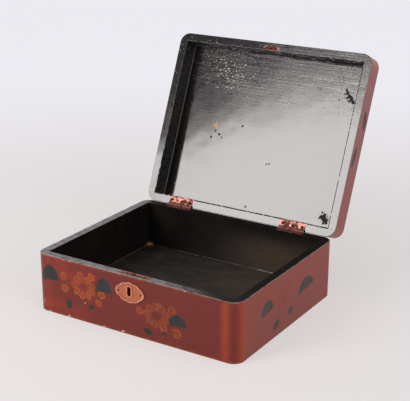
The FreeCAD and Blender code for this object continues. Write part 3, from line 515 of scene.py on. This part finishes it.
def lid_lacquer(colours, name="lid_lacquer", peg=0.0):
    """The lid: red outside, glossy black inside with brush marks, pits, small losses and a painted
    highlight.
    """
    finish = Finish(name, ior=MIRROR_IOR)
    hinge = HINGE_LINE / MM
    home = Matrix.Rotation(LID_TURN, 4, "X")
    finish.place = finish.mapped(finish.place, turn=(LID_TURN, 0, 0), shift=hinge - home @ hinge)
    x, y, z = finish.split(finish.place)
    edge = outline(finish, x, y)
    height = finish.minus(z, LID_FOOT)
    from_hinge = finish.minus(HALF_DEPTH, y)

    lost = finish.patches(7, 4, 0.7, 0.54, 0.66, stretch=(1, 1.5, 1), shift=(12, 5, 1))
    bitten = finish.minus(height, finish.times(lost, 2.2))
    above_rim = finish.ramp(finish.plus(bitten, edge_wander(finish)), *RED_BEGINS)
    on_sides = finish.times(above_rim, finish.ramp(edge.from_inner, *OUTER_FACE))
    red_part = finish.either(on_sides, finish.ramp(height, LID_HEIGHT - 1.2, LID_HEIGHT - 0.8))
    from_top = finish.plus(finish.minus(LID_HEIGHT, height), 3.0)
    # red_lacquer also paints its shade on the lid's front and its light on the lid's right side
    red, chip = red_lacquer(finish, colours, x, y, edge, height, from_top)
    red = finish.mix(peg, red, colours.plum)

    ragged = finish.times(finish.noise(1.9, 4, 0.8, shift=(1, 2, 3)), 10.0)
    ragged = finish.minus(ragged, 5.0)
    tan, dark, soft = lid_marks(finish, x, from_hinge, ragged)
    upper = finish.ramp(finish.plus(from_hinge, finish.times(ragged, 4.0)), 80.0, 165.0)
    top_part = finish.ramp(finish.plus(from_hinge, finish.times(ragged, 5.0)), 105.0, 190.0)

    cluster = finish.spot(x, from_hinge, *SPECKLES, finish.times(ragged, 2.0), soft=0.9)
    sparse = finish.plus(finish.times(finish.minus(1.0, cluster), 0.11),
                         finish.times(finish.minus(1.0, upper), 0.2))
    fleck = finish.noise(1.7, 2, 0.5, stretch=(1.5, 1, 1), shift=(8, 1, 6))
    fleck = finish.ramp(finish.minus(fleck, sparse), 0.575, 0.62)
    fleck = finish.times(fleck, finish.minus(1.0, red_part))
    black = finish.over(black_lacquer(finish, colours), FLECK, fleck, 0.75)
    film = finish.patches(2.6, 4, 0.7, 0.40, 0.68, stretch=(2.5, 1, 1), shift=(4, 4, 9))
    black = finish.over(black, finish.mix(film, black, THIN_FILM), upper, 0.05)
    black = finish.mix(tan, black, colours.bare)
    # Painted highlight: a grey line along the joint of the left rail and the panel
    inner_corner_highlight = finish.times(finish.ramp(edge.from_inner, -0.9, -0.3),
                                finish.ramp(height, PANEL_FACE - 1.2, PANEL_FACE - 0.6))
    black = finish.over(black, CORNER_HIGHLIGHT, inner_corner_highlight, finish.ramp(x, -100.0, -110.0), 0.7)
    tone = finish.mix(red_part, black, red)
    finish.colour(finish.over(tone, colours.bare, chip, above_rim))

    joint = finish.ramp(finish.size_of(finish.minus(edge.from_inner, 0.1)), 0.9, 0.4)
    joint = finish.times(joint, finish.patches(3.5, 3, 0.6, 0.40, 0.50, shift=(9, 4, 4)))
    pits = finish.patches(2.4, 2, 0.5, 0.735, 0.77, shift=(6, 16, 2))
    dull = finish.either(dark, tan, joint, finish.times(pits, 0.6))
    rows = finish.patches(1.8, 3, 0.65, 0.48, 0.60, stretch=(20, 1, 1), shift=(17, 5, 2))
    grains = finish.patches(1.7, 3, 0.7, 0.52, 0.62, stretch=(1.5, 1, 1), shift=(5, 15, 2))
    matt = finish.either(finish.times(rows, 0.20), finish.times(grains, 0.26))
    past_rim = finish.either(finish.ramp(height, 0.3, 0.6), finish.ramp(x, -30.0, 10.0))
    matt = finish.times(matt, finish.blend(top_part, 0.06, 1.0), past_rim)
    hazy = finish.either(dull, finish.times(soft, 0.35), matt)
    satin = finish.noise(16, 4, 0.6, shift=(3, 12, 6))
    inside = finish.blend(hazy, finish.blend(satin, *LID_SHEEN), MATT)
    finish.rough(finish.blend(red_part, inside, finish.blend(satin, *OUTSIDE_SHEEN)))

    rough_patch = finish.blend(upper, 0.22, 1.0)
    streak = finish.noise(2.4, 4, 0.65, stretch=(34, 1, 1), shift=(7, 3, 1))
    crumb = finish.noise(2.0, 4, 0.75, stretch=(1.6, 1, 1), shift=(2, 2, 2))
    swell = finish.noise(60, 2, 0.5, shift=(6, 0, 3))
    finish.relief([(finish.times(streak, rough_patch), 2.8), (finish.times(crumb, rough_patch), 2.6),
                   (swell, 16.0), (dull, -6.0), (fleck, 4.0)], 0.024 * MM)
    return finish.material


# How far full wear fades paint towards what is under it, and how dark its cloudy parts are
FADING = 0.58
CLOUDED = 0.72


def paint(name, tone, worn_to, wear):
    """Thin paint that has faded, and rubbed through to the lacquer here and there."""
    finish = Finish(name, ior=DULL_IOR)
    faded = wear * FADING
    tone = tuple(part * (1 - faded) + under * faded for part, under in zip(tone, worn_to))
    darker = tuple(part * CLOUDED for part in tone)
    cloud = finish.noise(9, 3, 0.6, shift=(8, 2, 2))
    tone = finish.mix(finish.ramp(cloud, 0.35, 0.7), tone, darker)
    rub = finish.patches(3.2, 5, 0.7, 0.62 - wear * 0.3, 0.78 - wear * 0.2, shift=(3, 1, 4))
    finish.colour(finish.over(tone, worn_to, rub, 0.5 + wear * 0.5))
    finish.rough(finish.blend(cloud, 0.30, 0.48))
    finish.relief([(finish.noise(1.2, 3, 0.6), 1.0), (finish.noise(6, 2, 0.5), 3.0)], 0.010 * MM)
    return finish.material


def metal(name, bright, dull, dullness, roughness=(0.46, 0.72), blotches=0.85):
    """Old metal: bright where it is rubbed, dull in clouds and specks; dullness is 0 to 1 or a mask."""
    finish = Finish(name, metallic=1.0)
    mask = dullness(finish) if callable(dullness) else dullness
    cloud = finish.patches(4.5, 3, 0.6, 0.41, 0.58, shift=(3, 1, 2))
    specks = finish.patches(0.9, 2, 0.6, 0.54, 0.66, shift=(4, 4, 4))
    tarnish = finish.either(mask, finish.times(cloud, blotches), finish.times(specks, 0.6))
    finish.colour(finish.mix(tarnish, bright, dull))
    finish.rough(finish.blend(tarnish, *roughness))
    scratch = finish.noise(0.5, 3, 0.6, stretch=(14, 1, 1), shift=(2, 6, 6))
    finish.relief([(scratch, 1.0), (finish.noise(2.4, 3, 0.6), 2.0)], 0.010 * MM)
    return finish.material


def barrel_mask(finish):
    """1 on a hinge's knuckles, which are darker than its leaves."""
    _, y, z = finish.split(finish.place)
    return finish.spot(y, z, (HINGE_LINE.y / MM, HINGE_LINE.z / MM), 2.6, 0.0)


def raised_mask(start, end):
    """A mask that is 1 at depth start and 0 at depth end in front of the box."""
    def mask(finish):
        return finish.ramp(finish.split(finish.place)[1], end, start)
    return mask


def dress(nodes, material):
    """Puts one material on every slot of these nodes."""
    for name in nodes:
        mesh = NODES[name].data
        mesh.materials.clear()
        mesh.materials.append(material)


def start_modelling(*pieces):
    """Object mode with only these pieces selected, and the first of them active."""
    if bpy.context.object and bpy.context.object.mode != "OBJECT":
        bpy.ops.object.mode_set(mode="OBJECT")
    bpy.ops.object.select_all(action="DESELECT")
    for piece in pieces:
        piece.select_set(True)
    if pieces:
        bpy.context.view_layer.objects.active = pieces[0]


def select_faces(piece, wanted):
    """In edit mode, selects only the faces that pass the test."""
    bpy.ops.mesh.select_all(action="DESELECT")
    bpy.ops.mesh.select_mode(type="FACE")
    shape = bmesh.from_edit_mesh(piece.data)
    for face in shape.faces:
        face.select_set(wanted(face))
    bmesh.update_edit_mesh(piece.data)


# How much thicker a shape is inside its outline, as a share of its thickness
FILLED = 0.25


def painted_disc(middle, size, materials, lift, sides, line, turn=0.0, lean=None, pinch=0.0):
    """An oval, a pinched petal or a leaning half moon. Sizes are in millimetres, but lift is in metres."""
    width, height = size
    start_modelling()
    bpy.ops.mesh.primitive_cylinder_add(vertices=sides, radius=width * MM / 2, depth=lift,
                                        location=(0, 0, lift / 2))
    piece = bpy.context.object
    for material in materials:
        piece.data.materials.append(material)
    bpy.ops.object.mode_set(mode="EDIT")
    bpy.ops.transform.resize(value=(1, height / width, 1))
    if pinch:
        select_faces(piece, lambda face: face.normal.x < -0.3 and abs(face.normal.z) < 0.5)
        bpy.ops.transform.resize(value=(1, 1 - pinch, 1))
    if lean is not None:
        bpy.ops.mesh.select_all(action="SELECT")
        bpy.ops.mesh.bisect(plane_co=(0, 0, 0), plane_no=(lean, 1, 0), use_fill=True, clear_inner=True)
    select_faces(piece, lambda face: face.normal.z > 0.9)
    bpy.ops.mesh.inset(thickness=line * MM, depth=0)
    piece.active_material_index = 1
    bpy.ops.object.material_slot_assign()
    bpy.ops.transform.translate(value=(0, 0, lift * FILLED))
    bpy.ops.object.mode_set(mode="OBJECT")
    piece.rotation_euler.z = turn
    piece.location = (middle[0] * MM, middle[1] * MM, 0)
    bpy.ops.object.transform_apply(location=True, rotation=True, scale=True)
    return piece


# Buds of a flower, in millimetres from its middle: across, up, width and height
BUDS = ((-26.0, 7.0, 9.0, 9.5), (-24.5, -6.5, 10.0, 9.5), (-4.0, 12.0, 9.5, 8.5),
        (10.5, 13.5, 9.0, 10.0), (23.0, -3.5, 10.0, 8.5), (19.0, -13.5, 8.5, 8.5))
FAINT_BUDS = ((-20.0, 0.8, 10.0, 9.0), (3.0, 10.0, 9.7, 7.7), (18.0, 10.4, 9.5, 9.9),
              (-3.0, -8.4, 9.8, 9.0), (8.2, -11.5, 9.7, 9.0), (23.8, -13.3, 12.5, 10.5))
# The ring of petals and the heart, in millimetres: radii, and widths and heights
RING_PETALS = 9
RING_RADIUS = (11.6, 10.0)
RING_PETAL = (8.6, 7.8)
PINCH = 0.18
HEART = (14.0, 12.5)
# Straight sides of the smaller or larger shapes, and widths of the outlines in millimetres
RING_SIDES = 16
LEAF_SIDES = 32
CHIP_SIDES = 7
BUD_LINE = 1.5
RING_LINE = 1.1
HEART_LINE = 1.2
LEAF_LINE = 0.9
OVAL_LINE = 0.8
# Thickness of the ring and the heart as shares of the paint's, and what each next petal adds
RING_LIFT = 1.3
HEART_LIFT = 1.7
BUD_STEP = 0.04
RING_STEP = 0.03


def flower(middle, share, finishes, settings, buds):
    """The discs of one flower: buds, ring petals and heart."""
    petal, heart = finishes
    lift = settings.lift
    made = []
    for number, (across, up, width, height) in enumerate(buds):
        place = (middle[0] + across * share, middle[1] + up * share)
        made.append(painted_disc(place, (width * share, height * share), petal,
                                 lift * (1 + BUD_STEP * number), settings.sides, BUD_LINE * share,
                                 math.atan2(up, across), pinch=PINCH))
    for number in range(RING_PETALS):
        angle = 2 * math.pi * (number + 0.5) / RING_PETALS
        place = (middle[0] + RING_RADIUS[0] * share * math.cos(angle),
                 middle[1] + RING_RADIUS[1] * share * math.sin(angle))
        made.append(painted_disc(place, (RING_PETAL[0] * share, RING_PETAL[1] * share), petal,
                                 lift * (RING_LIFT + RING_STEP * number), RING_SIDES,
                                 RING_LINE * share, angle, pinch=PINCH))
    made.append(painted_disc(middle, (HEART[0] * share, HEART[1] * share), heart, lift * HEART_LIFT,
                             settings.sides, HEART_LINE * share))
    return made


def leaf_discs(leaves, finish, settings):
    """Half moons: the upper half of an oval, cut off at its base."""
    made = []
    for across, up, width, height, lean in leaves:
        made.append(painted_disc((across, up), (width, 2 * height), finish, settings.lift,
                                 LEAF_SIDES, LEAF_LINE, lean=lean))
    return made


def oval_discs(ovals, finish, settings):
    """Small ovals between the leaves."""
    made = []
    for across, up, width, height, turn in ovals:
        made.append(painted_disc((across, up), (width, height), finish, settings.lift,
                                 settings.sides, OVAL_LINE, math.radians(turn)))
    return made


# Width in millimetres of the strips in which paint is bent round a rounded corner
BEND_STRIP = 1.3


def wrap_corners(piece, half):
    """Bends what reaches past the flat part of a side round the box's rounded corners."""
    strip = BEND_STRIP * MM
    radius = CORNER_RADIUS * MM
    flat = half * MM - radius
    for side in (-1, 1):
        reach = max(side * vertex.co.x for vertex in piece.data.vertices)
        levels = [flat + strip * number for number in range(math.ceil((reach - flat) / strip))]
        if not levels:
            continue
        start_modelling(piece)
        bpy.ops.object.mode_set(mode="EDIT")
        for level in levels:
            bpy.ops.mesh.select_all(action="SELECT")
            bpy.ops.mesh.bisect(plane_co=(side * level, 0, 0), plane_no=(1, 0, 0))
        for level in reversed(levels):
            select_faces(piece, lambda face: side * face.calc_center_median().x > level)
            bend = strip / radius * (0.5 if level == flat else 1.0)
            bpy.ops.transform.rotate(value=-side * bend, orient_axis="Y",
                                     center_override=(side * level, 0, 0))
        bpy.ops.object.mode_set(mode="OBJECT")


def join_painting(name, pieces, side, body):
    """Joins the discs of one painting, puts them on their side of the box and lets them ride there."""
    start_modelling(*pieces)
    bpy.ops.object.join()
    painting = bpy.context.object
    if side in SIDE_HALVES:
        wrap_corners(painting, SIDE_HALVES[side])
        start_modelling(painting)
    painting.name = name
    painting.data.name = name
    painting.matrix_world = SIDES[side]
    bpy.ops.object.transform_apply(location=True, rotation=True, scale=True)
    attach(painting, body)


# How far the underside of the paint is sunk into the lacquer, in millimetres
SUNK = 0.01


def side_frame(origin, across, up):
    """The place of a flat sheet of painting: its own X, Y and Z go across, up and outwards."""
    across, up = Vector(across), Vector(up)
    out = across.cross(up)
    turn = Matrix((across, up, out)).transposed().to_4x4()
    return Matrix.Translation(Vector(origin) * MM - out * SUNK * MM) @ turn


def open_lid(matrix):
    """Turns a place on the closed lid to where it is on the open lid."""
    to_hinge = Matrix.Translation(HINGE_LINE)
    return to_hinge @ Matrix.Rotation(-LID_TURN, 4, "X") @ to_hinge.inverted() @ matrix


SIDES = {
    "front": side_frame((0, -HALF_DEPTH, 0), (1, 0, 0), (0, 0, 1)),
    "right": side_frame((HALF_WIDTH, 0, 0), (0, 1, 0), (0, 0, 1)),
    "back": side_frame((0, HALF_DEPTH, 0), (-1, 0, 0), (0, 0, 1)),
    "left": side_frame((-HALF_WIDTH, 0, 0), (0, -1, 0), (0, 0, 1)),
    "lid_top": open_lid(side_frame((0, 0, LID_FOOT + LID_HEIGHT), (1, 0, 0), (0, 1, 0))),
    "lid_right": open_lid(side_frame((HALF_WIDTH, 0, LID_FOOT), (0, 1, 0), (0, 0, 1))),
}

# From the middle of a side with rounded corners to its end, in millimetres
SIDE_HALVES = {"front": HALF_WIDTH, "back": HALF_WIDTH, "left": HALF_DEPTH, "right": HALF_DEPTH}

# Leaves: middle of the base, width, height, lean. Ovals: middle, width, height, turn in degrees
LEFT_LEAVES = ((-106.5, 37.5, 23.0, 17.5, -0.10), (-35.5, 39.5, 21.0, 16.5, -0.08))
LEFT_OVALS = ((-82.2, 15.6, 8.2, 10.7, 0), (-52.7, 18.8, 8.0, 5.0, 20))
RIGHT_LEAVES = ((55.0, 24.0, 23.5, 13.0, -0.08),)
RIGHT_OVALS = ((19.4, 9.8, 12.0, 6.5, -20), (39.0, 12.7, 7.0, 4.5, 0))
BACK_LEAVES = ((60.0, 24.0, 23.5, 13.0, -0.08),)
BACK_OVALS = ((22.0, 9.8, 12.0, 6.5, -20),)
SIDE_LEAVES = ((-45.5, 34.0, 25.0, 14.0, -0.12), (39.0, 29.5, 34.0, 14.0, -0.12))
SIDE_OVALS = ((4.6, 17.8, 11.0, 8.8, 10), (-26.0, 13.5, 14.0, 9.6, 20))
TOP_LEAVES = ((-88.0, 62.0, 40.0, 30.0, -0.10), (74.0, -58.0, 42.0, 30.0, 0.08),
              (10.0, 44.0, 36.0, 25.0, -0.06))
TOP_OVALS = ((-64.0, -48.0, 15.0, 19.0, 0), (-18.0, -62.0, 14.0, 9.0, 20), (88.0, 58.0, 12.0, 16.0, 10))
LID_SIDE_OVALS = ((-31.0, 15.0, 22.0, 8.5, 12), (11.0, 7.5, 24.0, 7.0, -8))

# Name, side, what it rides on, middle and size of its flower, wear, buds, leaves, ovals
PAINTINGS = (
    ("front_left_flower", "front", "box", (-62.0, 39.5), 1.0, 0.45, BUDS, LEFT_LEAVES, LEFT_OVALS),
    ("front_right_flower", "front", "box", (30.0, 29.9), 1.0, 0.62, FAINT_BUDS, RIGHT_LEAVES,
     RIGHT_OVALS),
    ("right_side_flower", "right", "box", (-12.0, 34.0), 0.7, 0.95, BUDS, SIDE_LEAVES, SIDE_OVALS),
    ("left_side_flower", "left", "box", (-12.0, 34.0), 0.7, 0.70, BUDS, SIDE_LEAVES, SIDE_OVALS),
    ("back_left_flower", "back", "box", (-58.0, 36.0), 1.0, 0.60, BUDS, LEFT_LEAVES, LEFT_OVALS),
    ("back_right_flower", "back", "box", (34.0, 29.0), 1.0, 0.75, FAINT_BUDS, BACK_LEAVES, BACK_OVALS),
    ("lid_left_flower", "lid_top", "lid", (-40.0, 4.0), 1.75, 0.45, BUDS, TOP_LEAVES, TOP_OVALS),
    ("lid_right_flower", "lid_top", "lid", (62.0, 22.0), 1.35, 0.60, FAINT_BUDS, (), ()),
    ("lid_side_leaves", "lid_right", "lid", None, 1.0, 0.60, (), (), LID_SIDE_OVALS),
)
# A leaf's wear as a share of its flower's
LEAF_WEAR = 0.2

# Pale chips along the front's edges: middle, width, height, turn in degrees
FRONT_CHIPS = ((-108.6, 1.2, 3.4, 1.9, 10), (-82.6, 1.6, 4.4, 2.4, -6), (-36.3, 1.3, 3.0, 1.7, 0),
               (-12.0, 2.0, 4.4, 2.6, 12), (-116.5, 10.9, 2.6, 1.4, 8), (-79.4, 64.7, 7.0, 0.7, 0),
               (-88.0, 64.8, 4.0, 0.6, 0), (63.6, 64.8, 4.5, 0.6, 0), (-60.6, 22.0, 2.0, 1.8, 0),
               (88.0, 64.8, 2.2, 0.5, 0))
# Width of a chip's rim as a share of its height
CHIP_LINE = 0.15


class LacquerBase(bpy.types.Operator):
    """Finish the walls, the bottom and its pegs in red and black lacquer"""

    bl_idname = "writing_box.lacquer_base"
    bl_label = "Lacquer the Box"

    def execute(self, context):
        colours = context.scene.lacquer_settings
        dress(WALL_NODES + ("bottom_pegs",), base_lacquer(colours))
        return {"FINISHED"}


class LacquerLid(bpy.types.Operator):
    """Finish the lid's rails, panel and pegs in red and black lacquer"""

    bl_idname = "writing_box.lacquer_lid"
    bl_label = "Lacquer the Lid"

    def execute(self, context):
        colours = context.scene.lacquer_settings
        dress(LID_NODES, lid_lacquer(colours))
        dress(("lid_pegs",), lid_lacquer(colours, "lacquered_pegs", peg=0.5))
        return {"FINISHED"}


# Roughness of the small dark screws and pins, from bright to tarnished
SCREW_ROUGHNESS = (0.6, 0.8)


class FinishHinges(bpy.types.Operator):
    """Finish both hinges in copper, with tarnished knuckles, pins and screws"""

    bl_idname = "writing_box.finish_hinges"
    bl_label = "Finish the Hinges"

    def execute(self, context):
        metals = context.scene.metal_settings
        leaves = metal("hinge_copper", metals.copper, metals.patina, barrel_mask)
        screws = metal("tarnished_screw", metals.rubbed_copper, metals.patina, 1.0, SCREW_ROUGHNESS)
        for side in HINGE_SIDES:
            dress((f"hinge_{side}_base_leaf", f"hinge_{side}_lid_leaf"), leaves)
            dress((f"hinge_{side}_pin", f"hinge_{side}_base_screws", f"hinge_{side}_lid_screws"), screws)
        return {"FINISHED"}


class FinishLock(bpy.types.Operator):
    """Finish the lock, its escutcheon and its strike plate"""

    bl_idname = "writing_box.finish_lock"
    bl_label = "Finish the Lock"

    def execute(self, context):
        metals = context.scene.metal_settings
        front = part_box("escutcheon")[0].y / MM
        field = raised_mask(front + 0.9, front + 0.5)
        dress(("escutcheon",), metal("escutcheon_copper", metals.bright_edge, metals.rubbed_copper,
                                     field, blotches=0.55))
        dress(("strike_plate", "lock_plate"), metal("plate_copper", metals.copper, metals.patina, 0.3))
        dress(("escutcheon_pins", "strike_screws"),
              metal("dark_pin", metals.rubbed_copper, metals.patina, 1.0, SCREW_ROUGHNESS))
        dull_brass = tuple(part * 0.4 for part in metals.brass)
        dress(("lock_case", "lock_rivets", "lock_screws"),
              metal("lock_brass", metals.brass, dull_brass, 0.2))
        dull_steel = tuple(part * 0.3 for part in metals.steel)
        dress(("lock_bolt", "lock_spring"), metal("lock_steel", metals.steel, dull_steel, 0.2))
        return {"FINISHED"}


class PaintFlowers(bpy.types.Operator):
    """Paint the flowers, leaves and buds on the sides and the lid"""

    bl_idname = "writing_box.paint_flowers"
    bl_label = "Paint the Flowers"

    def execute(self, context):
        settings = context.scene.paint_settings
        lacquer = context.scene.lacquer_settings
        for name, side, body, middle, share, wear, buds, leaves, ovals in PAINTINGS:
            # Paint on the right part of the front wears to plum, the colour of the painted shade there
            darkened = side == "front" and middle[0] > 0
            under = lacquer.plum if darkened else lacquer.red
            leaf_wear = wear * LEAF_WEAR
            petal = (paint(name + "_outline", settings.petal_line, under, wear),
                     paint(name + "_petal", settings.petal, under, wear))
            heart = (petal[1], paint(name + "_heart", settings.heart, under, wear))
            leaf = (paint(name + "_leaf_edge", settings.leaf_line, under, leaf_wear),
                    paint(name + "_leaf", settings.leaf, under, leaf_wear))
            discs = leaf_discs(leaves, leaf, settings) + oval_discs(ovals, leaf, settings)
            if middle:
                discs += flower(middle, share, (petal, heart), settings, buds)
            join_painting(name, discs, side, body)
        return {"FINISHED"}


class ChipEdges(bpy.types.Operator):
    """Lay bare the small chips along the edges of the front"""

    bl_idname = "writing_box.chip_edges"
    bl_label = "Chip the Edges"

    def execute(self, context):
        colours = context.scene.lacquer_settings
        lift = context.scene.paint_settings.lift
        ground = paint("chip_ground", colours.ground, colours.bare, 0.5)
        rim = paint("chip_rim", colours.bare, colours.red, 0.3)
        chips = []
        for across, up, width, height, turn in FRONT_CHIPS:
            chips.append(painted_disc((across, up), (width, height), (rim, ground), lift, CHIP_SIDES,
                                      CHIP_LINE * height, math.radians(turn)))
        join_painting("front_chips", chips, "front", "box")
        return {"FINISHED"}


# The floor's width, the distances in metres over which it fades to the haze, and how much it
# glows by itself near the box and far away
FLOOR_WIDTH = 16
FLOOR_FADE = (0.12, 1.1)
FLOOR_GLOW = (0.65, 0.97)
# The room is dim in front of the box and pale behind it, and fades between these depths of a direction
ROOM_FADE = (-0.3, 0.3)
ROOM_COLOUR = (0.97, 0.98, 1.0)
LAMP_COLOUR = (1.0, 0.965, 0.95)

# The soft boxes that the open lid mirrors stand square to a line from the middle of the lid
LID_MIDDLE = Vector((0, 0.170, 0.160))
MIRROR_AZIMUTH = math.radians(-20)
MIRROR_ELEVATION = math.radians(19)
MIRROR_REACH = 1.5
DIAGONAL = 0.707
# Name, shift up to the right and up to the left, size, share of the key's brightness
MIRRORED_LAMPS = (
    ("key_lamp", -0.070, 0.136, (0.66, 0.45), 1.0),
    ("key_spill", 0.05, 0.0, (0.55, 0.40), 0.18),
)
# Name, place, what it faces, size, brightness
FILL_LAMPS = (
    ("right_fill", (1.7, -0.5, 0.9), (0, 0, 0.08), (1.1, 1.1), 3.5),
    ("top_fill", (0.2, 0.3, 1.9), (0, 0, 0), (1.4, 1.4), 0.9),
)

# The camera, solved from the box's edges in the photograph
CAMERA_PLACE = (0.5924, -0.9146, 0.4966)
CAMERA_TARGET = (0.0114, 0, 0.0935)
CAMERA_SHIFT = (0.022, 0.0545)
SENSOR_WIDTH = 36


def facing(place, target):
    """The matrix of a lamp or camera at a place, looking at its target."""
    turn = (Vector(target) - Vector(place)).to_track_quat("-Z", "Y").to_matrix().to_4x4()
    return Matrix.Translation(place) @ turn


def area_lamp(name, matrix, size, radiance):
    """A rectangular soft box of that brightness."""
    data = bpy.data.lights.new(name, "AREA")
    data.shape = "RECTANGLE"
    data.size, data.size_y = size
    data.energy = radiance * math.pi * size[0] * size[1]
    data.color = LAMP_COLOUR
    lamp = bpy.data.objects.new(name, data)
    bpy.context.scene.collection.objects.link(lamp)
    lamp.matrix_world = matrix
    lamp.visible_camera = False


def seen_directly(graph):
    """Masks of what the camera sees, and of what the camera, a mirror or glass sees."""
    path = graph.add("ShaderNodeLightPath").outputs
    seen = graph.either(path["Is Camera Ray"], path["Is Glossy Ray"], path["Is Transmission Ray"])
    return path["Is Camera Ray"], seen


class BuildStage(bpy.types.Operator):
    """Lay the floor, light the box softly and set the camera"""

    bl_idname = "writing_box.build_stage"
    bl_label = "Build the Stage"

    def lay_floor(self, studio):
        start_modelling()
        bpy.ops.mesh.primitive_plane_add(size=FLOOR_WIDTH, location=(0, 0, 0))
        floor = bpy.context.object
        floor.name = "studio_floor"
        material = bpy.data.materials.new("pale_floor")
        material.use_nodes = True
        graph = Graph(material.node_tree)
        place = graph.add("ShaderNodeTexCoord").outputs["Object"]
        far = graph.ramp(graph.length(place), *FLOOR_FADE)
        matt = graph.add("ShaderNodeBsdfDiffuse")
        graph.put(matt.inputs["Color"], studio.floor)
        glow = graph.add("ShaderNodeEmission")
        graph.put(glow.inputs["Color"], graph.mix(far, studio.floor, studio.haze))
        _, seen = seen_directly(graph)
        share = graph.times(seen, graph.blend(far, *FLOOR_GLOW))
        graph.show(share, matt.outputs[0], glow.outputs[0], "ShaderNodeOutputMaterial")
        floor.data.materials.append(material)

    def light_room(self, scene, studio):
        world = bpy.data.worlds.new("studio")
        scene.world = world
        world.use_nodes = True
        graph = Graph(world.node_tree)
        camera_ray, seen = seen_directly(graph)
        _, ahead, _ = graph.split(graph.add("ShaderNodeTexCoord").outputs["Generated"])
        behind = graph.ramp(ahead, *ROOM_FADE, kind="LINEAR")
        dim = graph.add("ShaderNodeBackground")
        graph.put(dim.inputs["Color"], ROOM_COLOUR)
        graph.put(dim.inputs["Strength"], studio.room)
        pale = graph.add("ShaderNodeBackground")
        graph.put(pale.inputs["Color"], studio.haze)
        share = graph.either(graph.times(seen, behind), camera_ray)
        graph.show(share, dim.outputs[0], pale.outputs[0], "ShaderNodeOutputWorld")

    def hang_lamps(self, studio):
        flat = math.cos(MIRROR_ELEVATION)
        toward = Vector((math.sin(MIRROR_AZIMUTH) * flat, -math.cos(MIRROR_AZIMUTH) * flat,
                         math.sin(MIRROR_ELEVATION)))
        right = Vector((0, 0, 1)).cross(toward).normalized()
        up = toward.cross(right)
        along = right * DIAGONAL + up * DIAGONAL
        outward = right * -DIAGONAL + up * DIAGONAL
        turn = Matrix((along, outward, toward)).transposed().to_4x4()
        for name, shift_along, shift_outward, size, share in MIRRORED_LAMPS:
            place = LID_MIDDLE + toward * MIRROR_REACH + along * shift_along + outward * shift_outward
            area_lamp(name, Matrix.Translation(place) @ turn, size, studio.key * share)
        for name, place, target, size, radiance in FILL_LAMPS:
            area_lamp(name, facing(place, target), size, radiance)

    def set_camera(self, scene, studio):
        data = bpy.data.cameras.new("camera")
        data.lens = studio.lens
        data.sensor_width = SENSOR_WIDTH
        data.shift_x, data.shift_y = CAMERA_SHIFT
        camera = bpy.data.objects.new("camera", data)
        scene.collection.objects.link(camera)
        camera.matrix_world = facing(CAMERA_PLACE, CAMERA_TARGET)
        scene.camera = camera

    def execute(self, context):
        scene = context.scene
        studio = scene.studio_settings
        self.lay_floor(studio)
        self.light_room(scene, studio)
        self.hang_lamps(studio)
        self.set_camera(scene, studio)
        scene.view_settings.view_transform = "Standard"
        return {"FINISHED"}


OPERATORS = (LacquerBase, LacquerLid, FinishHinges, FinishLock, PaintFlowers, ChipEdges, BuildStage)
SETTINGS = {
    "lacquer_settings": LacquerSettings,
    "paint_settings": PaintSettings,
    "metal_settings": MetalSettings,
    "studio_settings": StudioSettings,
}


class WritingBoxPanel(bpy.types.Panel):
    """Lists the steps that finish the writing box"""

    bl_idname = "VIEW3D_PT_writing_box"
    bl_label = "Writing Box"
    bl_space_type = "VIEW_3D"
    bl_region_type = "UI"
    bl_category = "Writing Box"

    def draw(self, context):
        for operator in OPERATORS:
            self.layout.operator(operator.bl_idname)


def register():
    for name, kind in SETTINGS.items():
        bpy.utils.register_class(kind)
        setattr(bpy.types.Scene, name, PointerProperty(type=kind))
    for kind in OPERATORS:
        bpy.utils.register_class(kind)
    bpy.utils.register_class(WritingBoxPanel)


def unregister():
    bpy.utils.unregister_class(WritingBoxPanel)
    for kind in reversed(OPERATORS):
        bpy.utils.unregister_class(kind)
    for name, kind in SETTINGS.items():
        delattr(bpy.types.Scene, name)
        bpy.utils.unregister_class(kind)


def main():
    register()
    steps = bpy.ops.writing_box
    for step in (steps.lacquer_base, steps.lacquer_lid, steps.finish_hinges, steps.finish_lock,
                 steps.paint_flowers, steps.chip_edges, steps.build_stage):
        step()


if __name__ == "__main__":
    main()
